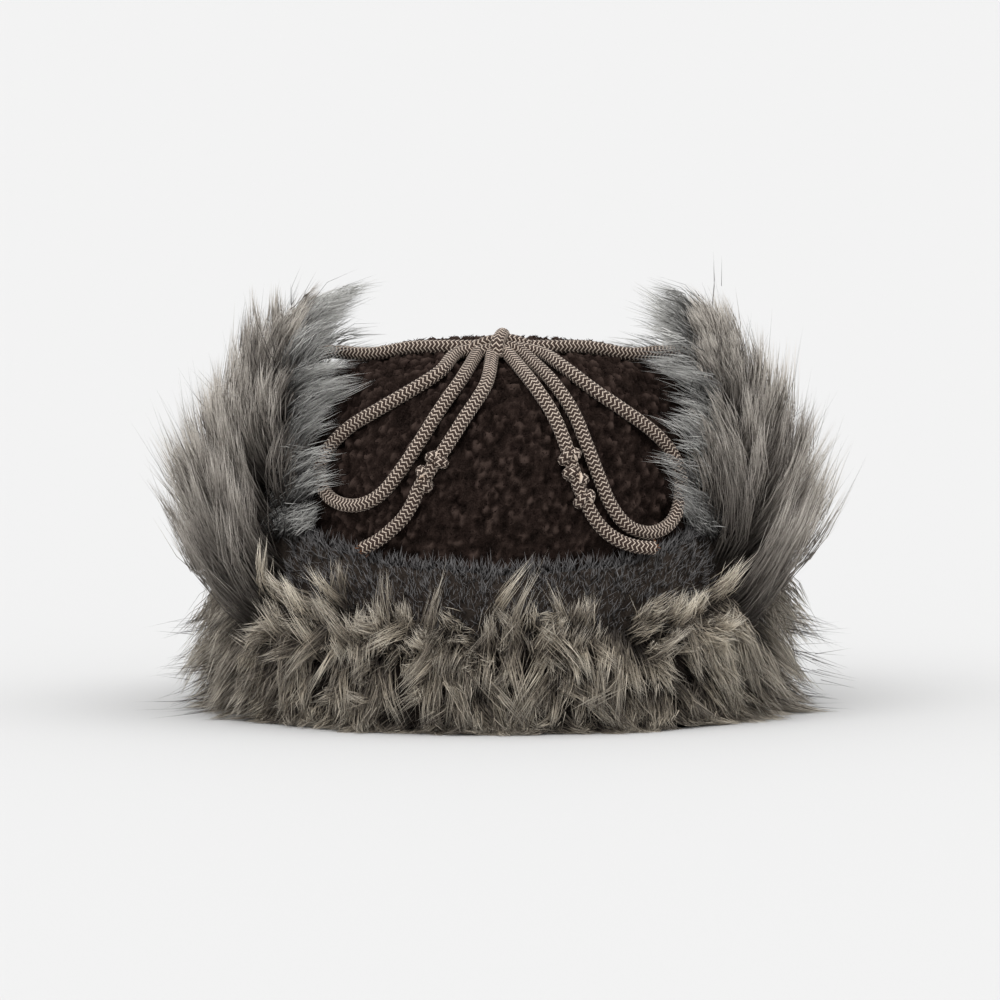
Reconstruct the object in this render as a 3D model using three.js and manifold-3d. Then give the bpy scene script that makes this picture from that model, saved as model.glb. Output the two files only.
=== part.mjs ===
// A trooper hat at rest: a fleece crown, fur flaps turned up all round it, and a braided cord
// that ties the ear flaps together over the crown in a bow.
// Millimetres, +Z up, the hat faces -Y. Left and right are as seen from the front.
import * as THREE from "three";
import { mergeVertices } from "three/addons/utils/BufferGeometryUtils.js";
import Module from "manifold-3d";

const wasm = await Module();
wasm.setup();

// Driving dimensions
const CROWN = { halfWidth: 97, halfLength: 104, height: 161, wall: 5, columns: 36, rows: 18 };
const PLAN_POWER = 2.3; // 2 is an ellipse, more is squarer
const DOME_POWER = 4; // 2 is a round dome, more has a flatter top
const GAP = 0.4; // kept between neighbouring pieces
const JOIN_TOLERANCE = 0.1; // slivers narrower than this are closed up where locks join
const SEAM_GAP = 0.8; // from the crown's rim to the inside of a turned-up flap
const FLOOR_SOFTNESS = 7; // hair below this height is pressed flat above the floor
const CORD = { diameter: 6, sides: 8, stepDiameters: 2.3, lift: 3.9 };
const KNOT = { x: 0, y: -45, length: 12, depth: 10, height: 6, lift: 5.4 };
const FLAP_SPLIT = 56; // degrees from the front where the front flap meets an ear flap
const NECK_SPLIT = 142; // degrees from the front where an ear flap meets the neck flap
const LOW_ZONE = 96; // height up to which neighbouring flaps are kept apart by the split

const DEG = Math.PI / 180;

// Flap outlines: the height of the turned-up edge from one end (0) to the other (1)
const FRONT_EDGE = [
  { across: 0.0, height: 82 },
  { across: 0.25, height: 72 },
  { across: 0.5, height: 68 },
  { across: 0.75, height: 71 },
  { across: 1.0, height: 82 },
];
const EAR_EDGE = [
  { across: 0.0, height: 96 },
  { across: 0.12, height: 136 },
  { across: 0.3, height: 160 },
  { across: 0.5, height: 166 },
  { across: 0.7, height: 158 },
  { across: 0.88, height: 128 },
  { across: 1.0, height: 92 },
];
const NECK_EDGE = [
  { across: 0.0, height: 88 },
  { across: 0.5, height: 80 },
  { across: 1.0, height: 88 },
];

// Rows of fur locks. Heading is degrees from straight up, positive towards the flap's first end.
// Fan adds to the heading from the first end (-1) to the other (+1), lift is degrees off the wall.
const FRONT_LOCKS = [
  { up: 0.16, count: 9, heading: 180, fan: 30, spread: 14, lift: 24, length: 34, width: 30 },
  { up: 0.36, count: 9, heading: 180, fan: 30, spread: 26, lift: 28, length: 38, width: 32 },
  { up: 0.58, count: 9, heading: 180, fan: 36, spread: 30, lift: 36, length: 35, width: 32 },
  { up: 0.66, count: 8, heading: 0, fan: -24, spread: 22, lift: 54, length: 24, width: 30 },
];
const EAR_LOCKS = [
  { up: 0.08, count: 5, heading: 180, fan: 10, spread: 18, lift: 36, length: 40, width: 32 },
  { up: 0.2, count: 5, heading: 176, fan: 8, spread: 16, lift: 44, length: 45, width: 34 },
  { up: 0.34, count: 5, heading: 150, fan: 30, spread: 24, lift: 58, length: 44, width: 34 },
  { up: 0.46, count: 4, heading: 8, fan: -10, spread: 14, lift: 52, length: 52, width: 38 },
  { up: 0.62, count: 4, heading: 6, fan: -10, spread: 14, lift: 44, length: 50, width: 36 },
  { up: 0.77, count: 3, heading: 4, fan: -10, spread: 12, lift: 40, length: 48, width: 36 },
  { up: 0.92, count: 3, heading: 2, fan: -12, spread: 12, lift: 12, length: 36, width: 32 },
];
const NECK_LOCKS = [
  { up: 0.14, count: 5, heading: 180, fan: 12, spread: 14, lift: 28, length: 36, width: 30 },
  { up: 0.36, count: 5, heading: 180, fan: 12, spread: 20, lift: 34, length: 40, width: 33 },
  { up: 0.62, count: 5, heading: 0, fan: -12, spread: 16, lift: 38, length: 40, width: 34 },
];

// Single locks: the soft overhang of an ear flap's edges, and the long wisps near the floor
const LEFT_SINGLES = [
  { across: 0.03, up: 0.5, heading: 80, lift: 30, length: 36, width: 32 },
  { across: 0.05, up: 0.72, heading: 50, lift: -4, length: 36, width: 34 },
  { across: 0.1, up: 0.84, heading: 56, lift: -28, length: 46, width: 36 },
  { across: 0.22, up: 0.92, heading: 40, lift: -36, length: 46, width: 36 },
  { across: 0.42, up: 0.95, heading: 16, lift: -36, length: 42, width: 36 },
  { across: 0.95, up: 0.6, heading: -70, lift: 14, length: 36, width: 30 },
  { across: 0.86, up: 0.86, heading: -40, lift: -12, length: 38, width: 30 },
  { across: 0.1, up: 0.13, heading: 128, lift: 58, length: 66, width: 20 },
  { across: 0.2, up: 0.1, heading: 150, lift: 60, length: 56, width: 20 },
];
const RIGHT_SINGLES = [
  { across: 0.06, up: 0.48, heading: 60, lift: 50, length: 34, width: 32 },
  { across: 0.04, up: 0.7, heading: 56, lift: 10, length: 38, width: 34 },
  { across: 0.1, up: 0.84, heading: 60, lift: -26, length: 46, width: 36 },
  { across: 0.22, up: 0.92, heading: 42, lift: -36, length: 46, width: 36 },
  { across: 0.42, up: 0.95, heading: 16, lift: -36, length: 42, width: 36 },
  { across: 0.95, up: 0.6, heading: -70, lift: 14, length: 36, width: 30 },
  { across: 0.86, up: 0.86, heading: -40, lift: -12, length: 38, width: 30 },
  { across: 0.12, up: 0.15, heading: 122, lift: 60, length: 62, width: 20 },
  { across: 0.24, up: 0.12, heading: 140, lift: 66, length: 58, width: 20 },
];

// The four flaps, each from its first end round to the other
const FRONT_FLAP = {
  name: "front_flap",
  seed: 11,
  from: -FLAP_SPLIT,
  to: FLAP_SPLIT,
  edge: FRONT_EDGE,
  thickness: 15,
  leanIn: 8,
  columns: 16,
  rows: 4,
  locks: FRONT_LOCKS,
  singles: [],
};
const EAR_FLAP_LEFT = {
  name: "ear_flap_left",
  seed: 23,
  from: -FLAP_SPLIT,
  to: -NECK_SPLIT,
  edge: EAR_EDGE,
  thickness: 13,
  leanIn: 12,
  columns: 12,
  rows: 6,
  locks: EAR_LOCKS,
  singles: LEFT_SINGLES,
  cords: ["tie_left", "bow_loop_left"],
};
const EAR_FLAP_RIGHT = {
  ...EAR_FLAP_LEFT,
  name: "ear_flap_right",
  seed: 37,
  from: FLAP_SPLIT,
  to: NECK_SPLIT,
  singles: RIGHT_SINGLES,
  cords: ["tie_right", "bow_loop_right"],
};
const NECK_FLAP = {
  name: "neck_flap",
  seed: 53,
  from: NECK_SPLIT,
  to: 360 - NECK_SPLIT,
  edge: NECK_EDGE,
  thickness: 14,
  leanIn: 8,
  columns: 12,
  rows: 4,
  locks: NECK_LOCKS,
  singles: [],
};

const LOOKS = {
  fleece: { color: 0x2d2422, roughness: 0.95, metalness: 0 },
  fur: { color: 0x6f675f, roughness: 0.9, metalness: 0 },
  cord: { color: 0x46392f, roughness: 0.85, metalness: 0 },
};

// A repeatable number from -1 to 1 for each seed
function wobble(seed) {
  const wave = Math.sin(seed * 12.9898) * 43758.5453;
  return 2 * (wave - Math.floor(wave)) - 1;
}

// The height of a flap's edge read from its table
function edgeHeight(rows, across) {
  const last = rows.length - 2;
  let index = rows.findIndex((row) => row.across > across) - 1;
  index = index < 0 ? last : index;
  const low = rows[index];
  const high = rows[index + 1];
  const share = (across - low.across) / (high.across - low.across);
  return THREE.MathUtils.lerp(low.height, high.height, share);
}

// How far out a point lies as a share of a dome of the given half sizes: 1 is on its skin
function domeShare(point, halfWidth, halfLength, height) {
  const plan = (Math.abs(point.x) / halfWidth) ** PLAN_POWER + (Math.abs(point.y) / halfLength) ** PLAN_POWER;
  return (plan ** (DOME_POWER / PLAN_POWER) + (Math.abs(point.z) / height) ** DOME_POWER) ** (1 / DOME_POWER);
}

function crownShare(point) {
  return domeShare(point, CROWN.halfWidth, CROWN.halfLength, CROWN.height);
}

// The outward direction of the crown's skin at a point
function crownNormal(point) {
  const step = 0.01;
  const along = (axis) => crownShare(point.clone().addScaledVector(axis, step)) - crownShare(point);
  const axes = [new THREE.Vector3(1, 0, 0), new THREE.Vector3(0, 1, 0), new THREE.Vector3(0, 0, 1)];
  return new THREE.Vector3(...axes.map(along)).normalize();
}

// A point of the crown's front, seen at x and z, and held off it by lift
function onFront(x, z, lift = CORD.lift) {
  const width = (1 - (z / CROWN.height) ** DOME_POWER) ** (PLAN_POWER / DOME_POWER);
  const y = -CROWN.halfLength * (width - (Math.abs(x) / CROWN.halfWidth) ** PLAN_POWER) ** (1 / PLAN_POWER);
  const point = new THREE.Vector3(x, y, z);
  return point.clone().addScaledVector(crownNormal(point), lift);
}

// A point of the crown's top, seen from above at x and y, and held off it by lift
function onTop(x, y, lift = CORD.lift) {
  const plan = (Math.abs(x) / CROWN.halfWidth) ** PLAN_POWER + (Math.abs(y) / CROWN.halfLength) ** PLAN_POWER;
  const z = CROWN.height * (1 - plan ** (DOME_POWER / PLAN_POWER)) ** (1 / DOME_POWER);
  const point = new THREE.Vector3(x, y, z);
  return point.clone().addScaledVector(crownNormal(point), lift);
}

// Where the rim of the crown lies at a plan angle, 0 at the front centre and positive towards +X
function planDirection(around) {
  return new THREE.Vector3(Math.sin(around * DEG), -Math.cos(around * DEG), 0);
}

function planRadius(around) {
  return 1 / crownShare(planDirection(around));
}

// A closed solid from a three.js geometry with each vertex moved by place
function solid(geometry, place = (point) => point) {
  const bare = geometry.clone();
  bare.deleteAttribute("normal");
  bare.deleteAttribute("uv");
  const welded = mergeVertices(bare, 1e-5);
  const position = welded.getAttribute("position");
  const corner = new THREE.Vector3();
  for (let index = 0; index < position.count; index += 1) {
    corner.fromBufferAttribute(position, index);
    position.setXYZ(index, ...place(corner.clone()).toArray());
  }
  const triVerts = new Uint32Array(welded.index.array);
  const vertProperties = new Float32Array(position.array);
  const whole = new wasm.Manifold(new wasm.Mesh({ numProp: 3, vertProperties, triVerts }));
  if (whole.volume() > 0) {
    return whole;
  }
  const turned = triVerts.map((vertex, index, all) => all[index - (index % 3) + 2 - (index % 3)]);
  return new wasm.Manifold(new wasm.Mesh({ numProp: 3, vertProperties, triVerts: turned }));
}

// A named mesh of a finished solid
function mesh(name, shape, look) {
  const { vertProperties, triVerts } = shape.simplify(JOIN_TOLERANCE).getMesh();
  const geometry = new THREE.BufferGeometry();
  geometry.setAttribute("position", new THREE.BufferAttribute(vertProperties, 3));
  geometry.setIndex(new THREE.BufferAttribute(triVerts, 1));
  geometry.computeVertexNormals();
  const result = new THREE.Mesh(geometry, new THREE.MeshStandardMaterial(look));
  result.name = name;
  return result;
}

function dome(grow) {
  const ball = new THREE.SphereGeometry(1, CROWN.columns, CROWN.rows).rotateX(Math.PI / 2);
  const half = [CROWN.halfWidth + grow, CROWN.halfLength + grow, CROWN.height + grow];
  return solid(ball, (point) => point.divideScalar(domeShare(point, ...half)));
}

function crown() {
  const depth = 2 * CROWN.height;
  const width = 4 * CROWN.halfLength;
  const below = solid(new THREE.BoxGeometry(width, width, depth).translate(0, 0, -depth / 2));
  return dome(0).subtract(dome(-CROWN.wall)).subtract(below);
}

// A point of a flap: across from its first end, up from the floor, out through its thickness
function onFlap(flap, across, up, out) {
  const around = THREE.MathUtils.lerp(flap.from, flap.to, across);
  const height = up * edgeHeight(flap.edge, across);
  const inside = planRadius(around) + SEAM_GAP - flap.leanIn * (height / CROWN.height) ** 2;
  const rounding = 1 - 0.55 * up ** 4;
  const point = planDirection(around).multiplyScalar(inside + out * flap.thickness * rounding);
  return point.setZ(height);
}

function flapWall(flap) {
  const box = new THREE.BoxGeometry(1, 1, 1, flap.columns, 1, flap.rows);
  return solid(box, (point) => onFlap(flap, point.x + 0.5, point.z + 0.5, point.y + 0.5));
}

// The directions of a flap at a place: up its wall, towards its first end, and out of it
function flapFrame(flap, across, up) {
  const step = 0.01;
  const root = onFlap(flap, across, up, 0.85);
  const rise = onFlap(flap, across, up + step, 0.85).sub(onFlap(flap, across, up - step, 0.85)).normalize();
  const side = onFlap(flap, across - step, up, 0.85).sub(onFlap(flap, across + step, up, 0.85)).setZ(0).normalize();
  const out = new THREE.Vector3().crossVectors(side, rise).normalize();
  if (out.dot(root) < 0) {
    out.negate();
  }
  return { root, rise, side, out };
}

// Hair keeps above the floor: what would reach below is pressed flat on it
function pressFloor(point) {
  if (point.z < FLOOR_SOFTNESS) {
    point.z = FLOOR_SOFTNESS * Math.exp((point.z - FLOOR_SOFTNESS) / FLOOR_SOFTNESS);
  }
  return point;
}

// The centre line of a lock: it leaves the wall steeply and bends over along its heading
function lockLine(frame, lock) {
  const along = frame.rise.clone().multiplyScalar(Math.cos(lock.heading * DEG));
  along.addScaledVector(frame.side, Math.sin(lock.heading * DEG));
  const reach = (lift, share) =>
    frame.root
      .clone()
      .addScaledVector(along, share * lock.length * Math.cos(lift * DEG))
      .addScaledVector(frame.out, share * lock.length * Math.sin(lift * DEG));
  const start = reach(90, -0.12);
  return new THREE.QuadraticBezierCurve3(start, reach(lock.lift + 28, 0.5), reach(lock.lift, 1));
}

// One lock of fur: a flattened, bent cone that swells a little before its tip
function furLock(flap, lock) {
  const frame = flapFrame(flap, lock.across, lock.up);
  const line = lockLine(frame, lock);
  const cone = new THREE.ConeGeometry(1, 1, 3, 2);
  return solid(cone, (point) => {
    const share = point.y + 0.5;
    const along = line.getTangent(share);
    const sideways = new THREE.Vector3().crossVectors(along, frame.out).normalize();
    const through = new THREE.Vector3().crossVectors(sideways, along);
    const half = (lock.width / 2) * (1 + 1.5 * share);
    const place = line.getPoint(share);
    place.addScaledVector(sideways, point.x * half).addScaledVector(through, point.z * half * 0.62);
    return pressFloor(place);
  });
}

// The locks of a flap, its rows spread out and each lock varied a little
function flapLocks(flap) {
  const spread = flap.locks.flatMap((row, rank) =>
    Array.from({ length: row.count }, (_, index) => {
      const seed = flap.seed + 17 * rank + index;
      const shift = rank % 2 === 0 ? 0.5 : 0.35;
      const across = (index + shift + 0.2 * wobble(seed)) / row.count;
      const heading = row.heading + row.fan * (2 * across - 1) + row.spread * wobble(seed + 0.3);
      const length = row.length * (1 + 0.16 * wobble(seed + 0.6));
      return { ...row, across, heading, length };
    }),
  );
  return [...spread, ...flap.singles];
}

// The space of one flap between two plan angles, up to the low zone's height
function sector(from, to, inset) {
  const reach = 4 * CROWN.halfLength;
  const turns = [0, 0.25, 0.5, 0.75, 1].map((share) => THREE.MathUtils.lerp(from, to, share));
  const middle = planDirection((from + to) / 2).multiplyScalar(inset);
  const corners = turns.map((around) => planDirection(around).multiplyScalar(reach).add(middle));
  const outline = new THREE.Shape([middle, ...corners].map((corner) => new THREE.Vector2(corner.x, corner.y)));
  const block = new THREE.ExtrudeGeometry(outline, { depth: LOW_ZONE - 2 * inset + GAP, bevelEnabled: false });
  return solid(block.translate(0, 0, -GAP));
}

function fuse(shapes) {
  return shapes.reduce((whole, shape) => whole.add(shape));
}

// The largest body of a cut solid: a tip that a cord crosses is dropped
function mainBody(shape) {
  return shape.decompose().reduce((best, part) => (part.volume() > best.volume() ? part : best));
}

function furFlap(flap) {
  const fur = fuse([flapWall(flap), ...flapLocks(flap).map((lock) => furLock(flap, lock))]);
  return fur.subtract(dome(GAP));
}

// A cord as a tube along its route, grown where a flap is cut clear of it
function cordTube(route, grow = 0) {
  const line = new THREE.CatmullRomCurve3(route, false, "centripetal");
  const turn = (2 * Math.PI) / CORD.sides;
  const ring = Array.from({ length: CORD.sides }, (_, index) => index * turn);
  const radius = CORD.diameter / 2 + grow;
  const section = new THREE.Shape(ring.map((at) => new THREE.Vector2(radius * Math.cos(at), radius * Math.sin(at))));
  const steps = Math.ceil(line.getLength() / (CORD.stepDiameters * CORD.diameter));
  return solid(new THREE.ExtrudeGeometry(section, { steps, extrudePath: line, bevelEnabled: false }));
}

// The wrapped knot of the bow
function bowKnot() {
  const centre = onTop(KNOT.x, KNOT.y, KNOT.lift);
  const ball = new THREE.SphereGeometry(1, 10, 6).rotateX(Math.PI / 2);
  const half = new THREE.Vector3(KNOT.length, KNOT.depth, KNOT.height);
  return solid(ball, (point) => point.multiply(half).add(centre));
}

// The lumps of an overhand knot on a free end
function endKnot(lumps) {
  const ball = new THREE.SphereGeometry(1, 6, 4);
  const half = new THREE.Vector3(5.6, 4.6, 5);
  return lumps.map((centre) => solid(ball, (point) => point.multiply(half).add(centre)));
}

function at(x, y, z) {
  return new THREE.Vector3(x, y, z);
}

// Routes of the cord, chosen along the bow
const ROUTES = {
  tie_left: [at(-84, -6, 158), at(-72, -14, 159), onTop(-56, -24), onTop(-38, -34), onTop(-24, -40), onTop(-12.7, -43)],
  tie_right: [at(84, -6, 158), at(72, -14, 159), onTop(56, -24), onTop(38, -33), onTop(24, -40), onTop(12.7, -43)],
  bow_loop_left: [
    onTop(-12.9, -49.6),
    onTop(-19, -54),
    onFront(-26, 151),
    onFront(-36, 145),
    onFront(-50, 137),
    onFront(-64, 128),
    onFront(-73, 118),
    onFront(-76.5, 109),
    onFront(-74, 101),
    onFront(-67, 96.5),
    onFront(-58, 97),
    onFront(-50, 102),
    onFront(-42, 112),
    onFront(-34, 124),
    onFront(-25.5, 137),
    onFront(-17, 148),
    onTop(-9.6, -53.4),
  ],
  bow_loop_right: [
    onTop(12.9, -49.6),
    onTop(19, -54),
    onFront(27, 153),
    onFront(40, 144),
    onFront(52, 136),
    onFront(64, 127),
    onFront(72, 118),
    onFront(76, 108),
    onFront(76, 97),
    onFront(72, 88),
    onFront(63, 84.5),
    onFront(54, 88),
    onFront(47, 97),
    onFront(42, 109),
    onFront(37, 122),
    onFront(31, 136),
    onFront(23, 147),
    onTop(9.8, -53.4),
  ],
  bow_tail_left: [
    onTop(-3.2, -55),
    onFront(-6.5, 146),
    onFront(-15, 134),
    onFront(-23, 122),
    onFront(-30, 112),
    onFront(-34.5, 104.5),
    onFront(-37, 98.5),
    onFront(-41, 92),
    onFront(-45.5, 87, 4.4),
    onFront(-50.5, 82, 6),
    onFront(-56, 78, 8),
  ],
  bow_tail_right: [
    onTop(3.4, -55),
    onFront(14, 147),
    onFront(22, 136),
    onFront(27.5, 124),
    onFront(31, 113),
    onFront(34, 104),
    onFront(37, 97.5),
    onFront(40.5, 91),
    onFront(45, 85.5, 4.6),
    onFront(50, 81.5, 6.5),
    onFront(55.5, 79, 9),
    onFront(61, 78, 11),
  ],
};
const END_KNOTS = {
  bow_tail_left: [onFront(-35.6, 102, 4.8), onFront(-39.2, 95, 5)],
  bow_tail_right: [onFront(34.9, 101.5, 5), onFront(38.2, 95, 5), onFront(42.3, 88.6, 5)],
};

function tieCord(name) {
  const knots = endKnot(END_KNOTS[name] ?? []);
  return fuse([cordTube(ROUTES[name]), ...knots]);
}

const hat = new THREE.Group();
const body = new THREE.Group();
const tie = new THREE.Group();
hat.add(body);
body.add(mesh("crown", crown(), LOOKS.fleece));

const frontSpace = sector(-FLAP_SPLIT, FLAP_SPLIT, 0);
const neckSpace = sector(NECK_SPLIT, 360 - NECK_SPLIT, 0);
const frontInside = sector(-FLAP_SPLIT, FLAP_SPLIT, GAP);
const neckInside = sector(NECK_SPLIT, 360 - NECK_SPLIT, GAP);
body.add(mesh(FRONT_FLAP.name, furFlap(FRONT_FLAP).intersect(frontInside), LOOKS.fur));
body.add(mesh(NECK_FLAP.name, furFlap(NECK_FLAP).intersect(neckInside), LOOKS.fur));
for (const flap of [EAR_FLAP_LEFT, EAR_FLAP_RIGHT]) {
  const cords = flap.cords.map((name) => cordTube(ROUTES[name], GAP));
  const clear = furFlap(flap).subtract(frontSpace).subtract(neckSpace).subtract(fuse(cords));
  body.add(mesh(flap.name, mainBody(clear), LOOKS.fur));
}

// The hat stands with the middle of its outline over the origin
const outline = new THREE.Box3().setFromObject(body);
const middle = outline.getCenter(new THREE.Vector3());
hat.position.set(-middle.x, -middle.y, 0);

tie.add(mesh("bow_knot", bowKnot(), LOOKS.cord));
for (const name of Object.keys(ROUTES)) {
  tie.add(mesh(name, tieCord(name), LOOKS.cord));
}
hat.add(tie);

export default hat;
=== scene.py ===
"""Dresses the trooper hat: a curly fleece crown, four turned-up flaps of deep fur and a braided tie cord."""

import logging
import math
from dataclasses import dataclass, field
from enum import Enum

import bpy
import numpy as np
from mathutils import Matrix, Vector
from mathutils.kdtree import KDTree


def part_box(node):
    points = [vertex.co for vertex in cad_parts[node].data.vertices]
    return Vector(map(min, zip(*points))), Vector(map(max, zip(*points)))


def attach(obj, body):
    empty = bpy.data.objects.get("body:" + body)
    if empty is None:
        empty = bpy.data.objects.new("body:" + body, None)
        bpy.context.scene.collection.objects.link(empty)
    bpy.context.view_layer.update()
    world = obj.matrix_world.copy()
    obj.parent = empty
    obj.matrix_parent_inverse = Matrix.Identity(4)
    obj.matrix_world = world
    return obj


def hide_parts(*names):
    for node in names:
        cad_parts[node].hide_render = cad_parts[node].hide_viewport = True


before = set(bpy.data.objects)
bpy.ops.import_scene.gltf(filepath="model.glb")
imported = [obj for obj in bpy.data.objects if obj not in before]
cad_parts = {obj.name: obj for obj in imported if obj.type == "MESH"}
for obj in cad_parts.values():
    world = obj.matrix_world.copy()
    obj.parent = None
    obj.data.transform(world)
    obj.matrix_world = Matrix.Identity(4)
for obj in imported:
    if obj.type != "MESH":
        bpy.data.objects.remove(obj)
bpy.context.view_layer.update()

Array = np.ndarray
Colour = tuple[float, float, float, float]
Table = tuple[tuple[float, float], ...]
LOG = logging.getLogger("trooper_hat")
MM = 0.001
ALONG = "along"
TINT = "tint"
PATTERN_MAP = "OFBake"
BRAID_MAP = "braid"
SEAM_GAP = 0.8
FLOOR_SOFTNESS = 7.0


class Seat(Enum):
    """What a route point of the cord lies on."""

    FREE = "free"
    TOP = "top"
    FRONT = "front"


def shade(red: float, green: float, blue: float) -> Colour:
    """Gives a screen colour as linear light.

    Args:
        red: Red from 0 to 255.
        green: Green from 0 to 255.
        blue: Blue from 0 to 255.

    Returns:
        The linear colour, with full cover.
    """
    parts = [channel / 255 for channel in (red, green, blue)]
    linear = [((part + 0.055) / 1.055) ** 2.4 if part > 0.04045 else part / 12.92 for part in parts]
    return (linear[0], linear[1], linear[2], 1.0)


def wobble(seed: Array) -> Array:
    """A steady scatter from -1 to 1, the same as in the part's source."""
    value = np.sin(np.asarray(seed) * 12.9898) * 43758.5453
    return 2 * (value - np.floor(value)) - 1


def read(table: Table, places: Array) -> Array:
    """Values of a table at those places, with straight lines between its rows."""
    return np.interp(places, [place for place, _ in table], [value for _, value in table])


def unit(vectors: Array) -> Array:
    """The vectors at length one."""
    return vectors / np.maximum(np.linalg.norm(vectors, axis=-1, keepdims=True), 1e-9)


def press_floor(points: Array, softness: float = FLOOR_SOFTNESS) -> Array:
    """Squeezes what would sink into the floor into a thin layer above it.

    Args:
        points: Points in millimetres.
        softness: Height below which the squeeze starts, in millimetres.

    Returns:
        The points, all above the floor.
    """
    low = np.minimum(points[..., 2], softness)
    pressed = softness * np.exp((low - softness) / softness)
    result = points.copy()
    result[..., 2] = np.where(points[..., 2] < softness, pressed, points[..., 2])
    return result


def smooth_line(points: Array, step: float) -> Array:
    """Runs one smooth curve through the points.

    Args:
        points: The points to pass, in order.
        step: Spacing of the result along the curve.

    Returns:
        Evenly spaced points of the curve.
    """
    padded = np.vstack([2 * points[0] - points[1], points, 2 * points[-1] - points[-2]])
    share = np.linspace(0, 1, 24, endpoint=False)[:, None]
    spans = []
    for before, start, end, after in zip(padded, padded[1:], padded[2:], padded[3:]):
        first, middle, last = (
            max(math.sqrt(float(np.linalg.norm(b - a))), 1e-4)
            for a, b in ((before, start), (start, end), (end, after))
        )
        leave = (start - before) / first - (end - before) / (first + middle) + (end - start) / middle
        arrive = (end - start) / middle - (after - start) / (middle + last) + (after - end) / last
        leave, arrive = leave * middle, arrive * middle
        square, cube = share**2, share**3
        spans.append(
            start
            + leave * share
            + (3 * (end - start) - 2 * leave - arrive) * square
            + (2 * (start - end) + leave + arrive) * cube
        )
    dense = np.vstack([*spans, points[-1:]])
    travel = np.concatenate([[0], np.cumsum(np.linalg.norm(np.diff(dense, axis=0), axis=1))])
    even = np.linspace(0, travel[-1], max(4, int(round(travel[-1] / step)) + 1))
    return np.stack([np.interp(even, travel, dense[:, axis]) for axis in range(3)], axis=1)


def line_length(points: Array) -> float:
    """The length of a run of points."""
    return float(np.linalg.norm(np.diff(points, axis=0), axis=1).sum())


def make_mesh(name: str, points: Array, faces: list[Array]) -> bpy.types.Object:
    """Makes one mesh object from arrays and links it to the scene.

    Args:
        name: Name of the piece.
        points: Corners in metres, in the row frame.
        faces: Arrays of corner numbers, each with faces of one size.

    Returns:
        The new object, shaded smooth.
    """
    mesh = bpy.data.meshes.new(name)
    mesh.vertices.add(len(points))
    mesh.vertices.foreach_set("co", np.ascontiguousarray(points, dtype=np.float32).ravel())
    corners = np.concatenate([group.ravel() for group in faces]).astype(np.int32)
    sizes = np.concatenate([np.full(len(group), group.shape[1]) for group in faces])
    starts = np.concatenate([[0], np.cumsum(sizes)[:-1]]).astype(np.int32)
    mesh.loops.add(len(corners))
    mesh.loops.foreach_set("vertex_index", corners)
    mesh.polygons.add(len(sizes))
    mesh.polygons.foreach_set("loop_start", starts)
    mesh.update(calc_edges=True)
    mesh.validate()
    mesh.polygons.foreach_set("use_smooth", np.ones(len(mesh.polygons), dtype=bool))
    piece = bpy.data.objects.new(name, mesh)
    bpy.context.scene.collection.objects.link(piece)
    return piece


def paint(piece: bpy.types.Object, along: Array, tint: Array) -> None:
    """Stores two values at each corner, and a flat map that spreads them out.

    Args:
        piece: The piece to mark.
        along: First value for each corner, from 0 to 1.
        tint: Second value for each corner, from 0 to 1.
    """
    mesh = piece.data
    for name, values in ((ALONG, along), (TINT, tint)):
        mark = mesh.attributes.new(name, "FLOAT", "POINT")
        mark.data.foreach_set("value", np.ascontiguousarray(values, dtype=np.float32))
    corner = np.empty(len(mesh.loops), dtype=np.int32)
    mesh.loops.foreach_get("vertex_index", corner)
    flat = np.stack([0.02 + 0.96 * tint[corner], 0.02 + 0.96 * along[corner]], axis=1)
    layer = mesh.uv_layers.new(name=PATTERN_MAP)
    layer.data.foreach_set("uv", flat.astype(np.float32).ravel())


def belt(columns: int, rows: int, first: int = 0) -> Array:
    """Faces of a closed belt of rows of corners, each row running round.

    Args:
        columns: Corners in each row.
        rows: Number of rows.
        first: Number of the first corner.

    Returns:
        Four-sided faces that look outward when rows go up and columns go round to the left.
    """
    row, column = np.meshgrid(np.arange(rows - 1), np.arange(columns), indexing="ij")
    here = first + row * columns + column
    beside = first + row * columns + (column + 1) % columns
    return np.stack([here, beside, beside + columns, here + columns], axis=-1).reshape(-1, 4)


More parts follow.
